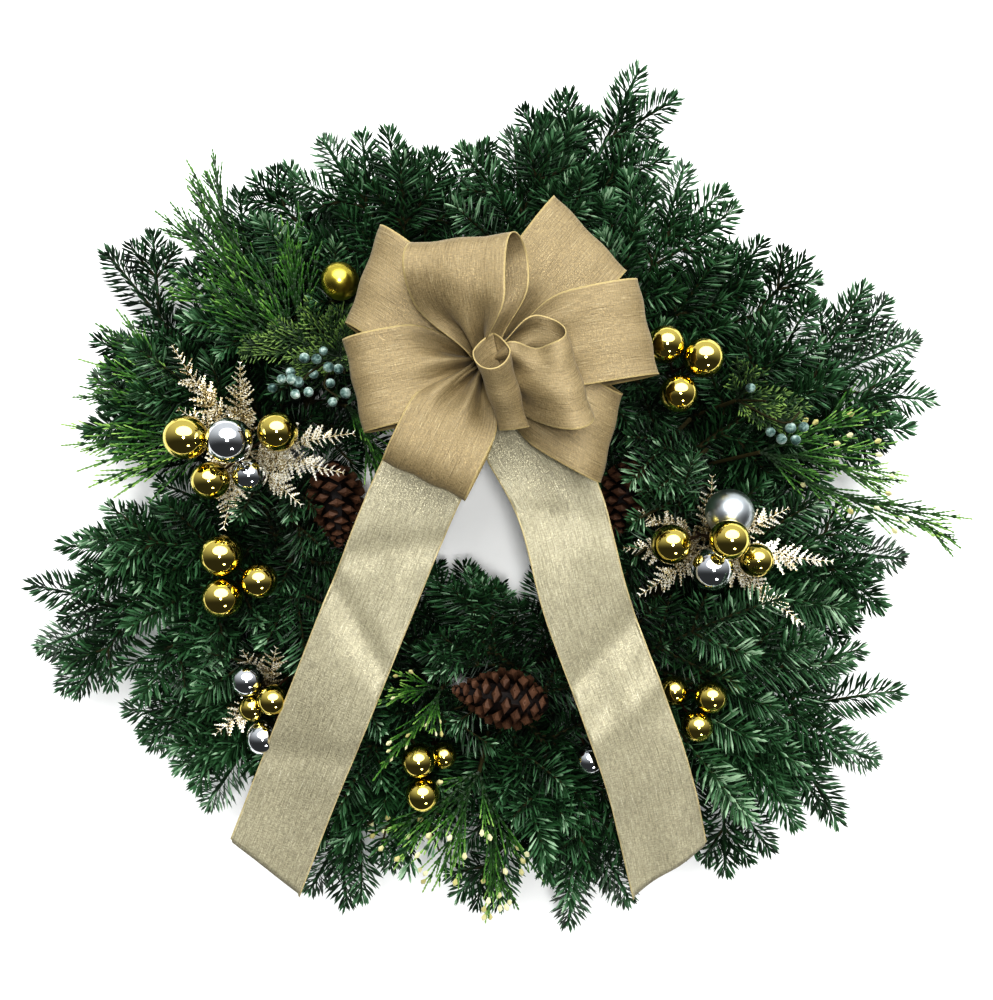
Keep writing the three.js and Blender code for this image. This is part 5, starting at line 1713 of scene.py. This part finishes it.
@dataclass
class FirFoliage:
    """Lays needles on every bough along the stems of its CAD node, and on finer shoots.

    A noble fir shoot is combed: its needles stand in rows at both sides, and the upper rows
    sweep up. Each row has its angle above the shoot's own plane, its needles' lean from the stem
    and their share of the full length; the short steep row hides the stem.
    """

    room: Room
    needle_length: float = 20.5
    needle_width: float = 2.3
    needle_thick: float = 0.9
    density: float = 1.5
    setback: float = 8.0
    rows: tuple = ((2, 70, 1.0), (21, 67, 0.98), (-16, 68, 0.95), (44, 61, 0.82), (76, 38, 0.52))
    # The source's trials for leaders and twigs, and how far off in mm a corner may be.
    swings: tuple = (0, 12, -12, 22, 34)
    lifts: tuple = (0, 8, -8, 16, 26)
    shorter: tuple = (1, 0.82, 0.64, 0.48)
    twig_lifts: tuple = (0, 0.2, -0.16, 0.4, 0.65)
    twig_swings: tuple = (0, 0.2, -0.2)
    near: float = 2.0
    source_seed: int = 101
    first_seed: int = 700
    # Side shoots: how far apart pairs are on a twig and on a leader, their shares of a full length,
    # the least full length, the least length after a cut, and the shortest shoot that bears any.
    pair_step: tuple = (34.0, 35.0)
    cuts: tuple = (1.0, 0.7, 0.45)
    least: float = 24.0
    shortest: float = 13.0
    least_parent: float = 44.0
    # The part of a shoot that bears them: where it starts and how long it is, as shares.
    bearing_part: tuple = (0.08, 0.66)
    missing: float = 0.1
    # Shoots of a face bough that lie over a cone: clamp, root and tip.
    covers: tuple = (
        (0, (168, 8, 44), (98, -22, 88)),
        (0, (166, -10, 44), (100, -48, 82)),
        (30, (150, 58, 52), (96, 8, 92)),
        (30, (164, 34, 50), (116, 2, 90)),
        (180, (-176, 12, 44), (-140, -12, 74)),
        (180, (-170, -20, 44), (-136, -40, 78)),
    )
    # Shoots that share a clamp with the face bough: heading from outward in degrees, length, rise.
    bunch: tuple = (
        (0, 112, 0.06), (62, 108, 0.3), (-62, 108, 0.3), (150, 74, 0.5), (-150, 74, 0.5), (180, 104, 0.2),
    )
    bunch_root: tuple = (163, 13)

    @staticmethod
    def needle_model() -> Model:
        """Model a needle one long along z: a three-sided spindle, widest past its middle.

        Returns:
            Points and triangles.
        """
        Workbench.start("cone", vertices=3, radius1=0.0, radius2=1.0, depth=0.7, location=(0, 0, 0.35))
        Workbench.select_where(2, 0.65, 0.75)
        Workbench.extrude((0, 0, 0.3))
        bpy.ops.mesh.merge(type="CENTER")
        return Workbench.taken()

    def fitted_leader(self, bough: Bough, corners: np.ndarray) -> Leader:
        """The trial of the leader whose rings are corners of the CAD node's mesh.

        Args:
            bough: The bough.
            corners: Corners of its CAD node.

        Returns:
            The leader that fits them best.
        """
        best = (math.inf, None)
        for swing in self.swings:
            for lift in self.lifts:
                leader = Leader(bough, lift, swing)
                shares = np.array([leader.straight_share, *bough.slot.shares])
                radii = leader.stem_radius * np.minimum(1, 0.35 + (1 - shares) * 1.1)
                distance = np.linalg.norm(corners[None] - leader.at(*shares)[:, None], axis=2)
                miss = np.sort(np.abs(distance - radii[:, None]), axis=1)[:, :2].sum()
                best = min(best, (miss, leader), key=lambda trial: trial[0])
        if best[0] > self.near:
            LOG.warning("%s: leader fits its node only to %.1f mm", bough.name(), best[0])
        return best[1]

    def fitted_twigs(self, bough: Bough, number: int, leader: Leader, corners: np.ndarray) -> list[Model]:
        """Side twigs whose tip is a corner of the CAD node's mesh.

        Args:
            bough: The bough.
            number: Its number, which seeds the source's draws.
            leader: Its leader.
            corners: Corners of its CAD node.

        Returns:
            Root and tip of each.
        """
        draw = DrawStream(self.source_seed + number)
        first_side = 1 if draw() < 0.5 else -1
        twigs = []
        for k, share in enumerate(bough.slot.shares):
            root = leader.at(share)[0]
            fork = next((f for f in bough.forks if f[0] == k), None)
            if fork:
                tip = around(*fork[1:])
                heading, length = tip - root, float(np.linalg.norm(tip - root))
            else:
                near = leader.at(share - 1e-4, share + 1e-4)
                tangent = unit(near[1] - near[0])
                opening = math.radians(46 - 12 * share)
                way = -first_side if k % 2 else first_side
                heading = tangent * math.cos(opening) + unit(np.cross(tangent, UP)) * way * math.sin(opening)
                rise, more = bough.slot.rise
                heading[2] += rise + more * draw()
                length = leader.span * (0.47 - 0.28 * share) * (0.9 + 0.2 * draw())
            heading = unit(heading)
            side = unit(np.cross(heading, UP))
            tips = [
                root + unit(heading + UP * lift + side * swing) * length * short
                for short in self.shorter for lift in self.twig_lifts for swing in self.twig_swings
            ]
            misses = [float(np.linalg.norm(corners - tip, axis=1).min()) for tip in tips]
            if min(misses) < self.near:
                twigs.append((root, tips[misses.index(min(misses))]))
        return twigs

    @staticmethod
    def shoot(root: np.ndarray, heading: np.ndarray, length: float, bend: np.ndarray) -> np.ndarray:
        """A slightly bent path from a root."""
        t = np.linspace(0, 1, 9)[:, None]
        return root + unit(heading) * length * t + bend * length * t**2

    def side_shoots(self, on: Growth, path: np.ndarray, step: float) -> list[np.ndarray]:
        """Opposite side shoots along a path, longest near its root, that keep clear of what is taken.

        Args:
            on: What the bough is grown with.
            path: The parent shoot.
            step: Distance between pairs.

        Returns:
            Paths of the side shoots.
        """
        draw, span = on.random.uniform, reach_of(path)
        tangent, side, rise = frames(path)
        made = []
        start, part = self.bearing_part
        count = max(1, int(span * part / step))
        for i in range(count):
            share = start + part * (i + draw(0.2, 0.8)) / count
            k = min(int(share * (len(path) - 1)), len(path) - 2)
            for way in (-1.0, 1.0):
                if draw() < self.missing:
                    continue
                opening = math.radians(draw(38, 50))
                heading = tangent[k] * math.cos(opening) + side[k] * way * math.sin(opening)
                heading = heading + rise[k] * draw(-0.1, 0.28)
                length = max(self.least, span * (0.56 - 0.44 * share) * draw(0.85, 1.15))
                bend = tangent[k] * 0.2 + rise[k] * draw(-0.05, 0.1)
                lengths = [length * cut for cut in self.cuts if length * cut > self.shortest]
                trials = [self.shoot(path[k], heading, reach, bend) for reach in lengths]
                made += [trial for trial in trials if on.room.free(trial[2:][None])[0]][:1]
        return made

    def needles(self, on: Growth, path: np.ndarray, bare: float) -> None:
        """Lay needles along a shoot in combed rows, leaning forward near its tip.

        Args:
            on: What the bough is grown with.
            path: The shoot.
            bare: Share at its root without needles.
        """
        draw, span = on.random.uniform, reach_of(path)
        count = int(span * (1 - bare) * self.density)
        if count < 3:
            return
        number = np.arange(count)
        share = bare + (1 - bare) * (1 - (1 - (number + draw(0.3, 0.7, count)) / count) ** 1.12)
        grid = np.linspace(0, 1, len(path))
        base, tangent, side, rise = (columns(share, grid, source) for source in (path, *frames(path)))
        way = np.where(number % 2 == 0, 1.0, -1.0)
        roll = draw(-12, 12)
        row = np.array(self.rows)[(number // 2) % len(self.rows)]
        above = np.radians(row[:, 0] + draw(-6, 6, count) + way * roll)
        radial = unit(side * (way * np.cos(above))[:, None] + rise * np.sin(above)[:, None])
        ending = np.clip((share - 1) * span / 20 + 1, 0, 1)
        lean = np.radians((row[:, 1] + draw(-5, 5, count)) * (1 - 0.6 * ending**1.4))[:, None]
        forward = unit(tangent * np.cos(lean) + radial * np.sin(lean))
        length = self.needle_length * row[:, 2] * draw(0.92, 1.06, count) * (1 - 0.46 * ending)
        length = length * np.interp(share * span, [0, 14], [0.72, 1.0])
        curl = draw(0.08, 0.16, count)
        flat = unit(np.cross(forward, rise) + 0.001)
        sweep = tangent * 0.9 + rise * 0.4
        bent = unit(sweep - forward * (sweep * forward).sum(1, keepdims=True))
        middle = base + forward * (length * 0.6)[:, None] + bent * (length * curl * 0.36)[:, None]
        tip = base + forward * length[:, None] * 0.97 + bent * (length * curl)[:, None]
        keep = on.room.free(np.stack([base + (middle - base) * 0.5, middle, (middle + tip) / 2, tip], 1))
        if not keep.any():
            return
        kept = (part[keep] for part in (base, forward, flat, bent, length, curl, share))
        base, forward, flat, bent, length, curl, share = kept
        count = len(base)
        points, faces = on.leaf
        height = points[:, 2]
        width = self.needle_width / 2 * draw(0.85, 1.15, count)
        thick = points[:, 1] * self.needle_thick / 2 * np.ones((count, 1))
        placed = (
            base[:, None]
            + flat[:, None] * (points[:, 0] * width[:, None])[..., None]
            + unit(np.cross(flat, forward))[:, None] * thick[..., None]
            + forward[:, None] * (height * length[:, None])[..., None]
            + bent[:, None] * (height**2 * (length * curl)[:, None])[..., None]
        )
        shift = np.arange(count)[:, None, None] * len(points)
        # Paler towards the tips of needles and shoots; painted light and shade make needles paler where the
        # bough lies high and darker where it lies low.
        tone = 0.1 + 0.58 * draw(0, 1, count) ** 1.5 + draw(-0.08, 0.14)
        tone = tone + 0.14 * np.clip((share - 0.6) / 0.4, 0, 1) + 0.2 * np.clip((base[:, 2] - 60) / 60, -1, 1)
        tone = tone[:, None] + 0.12 * height[None]
        on.shape.add((placed.reshape(-1, 3), (faces[None] + shift).reshape(-1, 3)), tone=tone.ravel())

    def dress(
        self, on: Growth, path: np.ndarray, thick: tuple[float, float], bare: float, depth: int
    ) -> None:
        """Add a shoot with its needles, its side shoots and theirs.

        Args:
            on: What the bough is grown with.
            path: The shoot.
            thick: Its radius at the root and at the tip.
            bare: Share at its root without needles.
            depth: How many orders of side shoots follow.
        """
        on.shape.add(tube(path, np.linspace(*thick, len(path)), 6 if depth > 1 else 4), finish=1, tone=0.45)
        self.needles(on, path, bare)
        if depth == 0 or reach_of(path) < self.least_parent:
            return
        for shoot in self.side_shoots(on, path, self.pair_step[depth - 1]):
            self.dress(on, shoot, (1.3, 0.7), 0.04, depth - 1)

    def build_bough(self, bough: Bough, number: int, corners: np.ndarray, needle: Model) -> None:
        """Model one bough over its CAD node.

        Args:
            bough: Its place and tip.
            number: Its number, which seeds its draws.
            corners: Corners of its CAD node, in the layout.
            needle: One needle.
        """
        on = Growth(Shape(), needle, np.random.default_rng(self.first_seed + number), self.room)
        leader = self.fitted_leader(bough, corners)
        lower = leader.at(*np.linspace(0, leader.straight_share * 0.8, 5))
        on.shape.add(tube(lower, leader.stem_radius, 6), finish=1, tone=0.35)
        upper = leader.at(*np.linspace(leader.straight_share * 0.78, 1 - self.setback / leader.span, 30))
        self.dress(on, upper, (2.9, 0.9), 0.0, 2)
        for root, tip in self.fitted_twigs(bough, number, leader, corners):
            tip = tip - unit(tip - root) * self.setback * 0.8
            self.dress(on, np.linspace(root, tip, 9), (1.5, 0.7), 0.06, 1)
        if bough.slot is Slot.FACE:
            self.build_bunch(on, bough)
        name, node = f"fir_bough_{bough.name()}", f"fir_{bough.name()}"
        Workbench.piece(name, on.shape, [Finish.FIR, Finish.TWIG], node, "fir", faceted=True)

    def build_bunch(self, on: Growth, bough: Bough) -> None:
        """Add the short shoots that fill a clamp's bunch and hide the cut ends.

        Args:
            on: What the bough is grown with.
            bough: The face bough.
        """
        draw = on.random.uniform
        radius, height = self.bunch_root
        for heading, length, rise in self.bunch:
            bearing = bough.clamp + draw(-5, 5)
            root = around(radius + draw(-6, 6), bearing, height + draw(0, 4))
            angle = math.radians(bearing + heading + draw(-14, 14))
            way = np.array([math.cos(angle), math.sin(angle), rise + draw(-0.05, 0.1)])
            bend = UP * draw(-0.12, 0.02) + np.array([-math.sin(angle), math.cos(angle), 0]) * draw(-0.2, 0.2)
            path = self.shoot(root, way, length * draw(0.88, 1.1), bend)
            taken = ~self.room.free(path[:, None])[2:]
            if taken.any():
                path = path[: 2 + int(np.argmax(taken))]
            if len(path) > 3:
                self.dress(on, path, (1.9, 0.8), 0.08, 1)
        for clamp, root, tip in self.covers:
            if clamp == bough.clamp:
                way = spot(tip) - spot(root)
                path = self.shoot(spot(root), way, float(np.linalg.norm(way)), UP * 0.08)
                self.dress(on, path, (1.7, 0.8), 0.1, 1)

    def build(self) -> None:
        """Model all boughs."""
        needle = self.needle_model()
        for number, bough in enumerate(BOUGHS):
            mesh = bpy.data.objects[f"fir_{bough.name()}"].data
            corners = np.empty(len(mesh.vertices) * 3)
            mesh.vertices.foreach_get("co", corners)
            self.build_bough(bough, number, corners.reshape(-1, 3) * 1000 - Workbench.offset, needle)


# Studio


@dataclass
class Studio:
    """Camera straight above, a pale floor and soft light from the bow's side, in metres."""

    floor_size: float = 3.8
    floor_height: float = -0.0002
    sensor: float = 36.0
    # Each lamp: name, place, width and height, power in watts.
    lamps: tuple = (
        ("sky", (0.2, 1.15, 1.9), (3.4, 2.1), 48.0),
        ("top", (0.12, -0.1, 2.1), (0.35, 0.35), 15.0),
        ("fill", (0.7, -1.5, 1.3), (0.4, 0.3), 4.0),
    )

    def build(self) -> None:
        """Place the camera, the floor, the lights and the sky."""
        scene = bpy.context.scene
        scene.view_settings.view_transform = "Standard"
        scene.view_settings.look = "High Contrast"
        camera = bpy.data.cameras.new("camera")
        camera.sensor_fit = "HORIZONTAL"
        camera.sensor_width = self.sensor
        camera.lens = self.sensor / 2 / EYE_HALF_WIDTH
        camera.clip_start = 0.01
        middle = (np.array([*EYE_MIDDLE, 0.0]) + Workbench.offset) / 1000
        scene.camera = self.placed("camera", camera, (middle[0], middle[1], EYE_HEIGHT / 1000))
        bpy.ops.object.select_all(action="DESELECT")
        bpy.ops.mesh.primitive_plane_add(size=self.floor_size, location=(0, 0, self.floor_height))
        floor = bpy.context.object
        floor.name = "floor"
        # Matt paint on board: it scatters all light, so no mirror image shows in it.
        material, _, shader = blank("matt_white_backdrop")
        fed(shader, {"Base Color": linear("#fcfcfb"), "Roughness": 0.9}, {})
        floor.data.materials.append(material)
        for name, place, size, power in self.lamps:
            light = bpy.data.lights.new(name, "AREA")
            light.shape = "ELLIPSE"
            light.size, light.size_y = size
            light.energy = power
            x, y, z = place
            # Each lamp faces the wreath's middle.
            turned = (-math.atan2(y, math.hypot(x, z)), math.atan2(x, z), 0.0)
            self.placed(name, light, place).rotation_euler = turned
        self.build_sky()

    @staticmethod
    def placed(name: str, data: bpy.types.ID, place: Spot) -> bpy.types.Object:
        """A new object in the scene.

        Args:
            name: Its name.
            data: Its camera or light.
            place: Where it stands.

        Returns:
            The object.
        """
        made = bpy.data.objects.new(name, data)
        made.location = place
        bpy.context.scene.collection.objects.link(made)
        return made

    def build_sky(self) -> None:
        """Make the sky: bright on the bow's side and dim on the other, as the balls mirror it."""
        world = bpy.data.worlds.new("studio")
        world.use_nodes = True
        tree = world.node_tree
        way = add_node(tree, "SeparateXYZ", links={"Vector": add_node(tree, "TexCoord").outputs["Generated"]})
        fade = {"From Min": -0.4, "From Max": 0.9, "To Min": 0.06, "To Max": 0.75}
        fade["interpolation_type"] = "SMOOTHSTEP"
        sky = add_node(tree, "MapRange", fade, {"Value": way.outputs["Y"]})
        # The camera itself sees a pale backdrop all round.
        ray = add_node(tree, "LightPath").outputs["Is Camera Ray"]
        seen = add_node(tree, "Math", {"operation": "MAXIMUM"}, {0: sky, 1: ray})
        fed(tree.nodes["Background"], {"Color": linear("#f0f3f6")}, {"Strength": seen})
        bpy.context.scene.world = world


CONES = (
    PineCone("low", (36, -161, 80), (-38, -149, 80), 50, 283, 1),
    PineCone("left", (-132, 24, 50), (-124, -44, 66), 50, 172, -1, 0.8),
    PineCone("right", (106, 26, 44), (92, -36, 50), 48, 9, 1, 0.1),
)
# The two corners of the space in the ring's middle that stays open.
OPENING = ((-63.7, -51.4, -5.0), (50.3, 86.6, 96.0))
SPRIG_SEED = 50


def main() -> None:
    """Build every sub-assembly in order and report it."""
    logging.basicConfig(level=logging.INFO, format="%(message)s")
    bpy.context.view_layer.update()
    ring_low, ring_high = (np.array(corner) * 1000 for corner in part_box("wire_ring"))
    Workbench.offset = (ring_low + ring_high) / 2 - RING_CENTRE
    Workbench.offset[2] = 0.0
    room = Room()
    room.block_box(*OPENING)
    Studio().build()
    WireRing().build()
    Bow(room).build()
    BallPicks(room).build()
    GlitterFerns(room).build()
    scale = PineCone.scale_model()
    for cone in CONES:
        cone.build(scale, room)
    leaf, berry = Sprig.leaf_model(), Sprig.berry_model()
    for number, sprig in enumerate(SPRIGS):
        sprig.build(leaf, berry, room, SPRIG_SEED + number)
    FirFoliage(room).build()


if __name__ == "__main__":
    main()
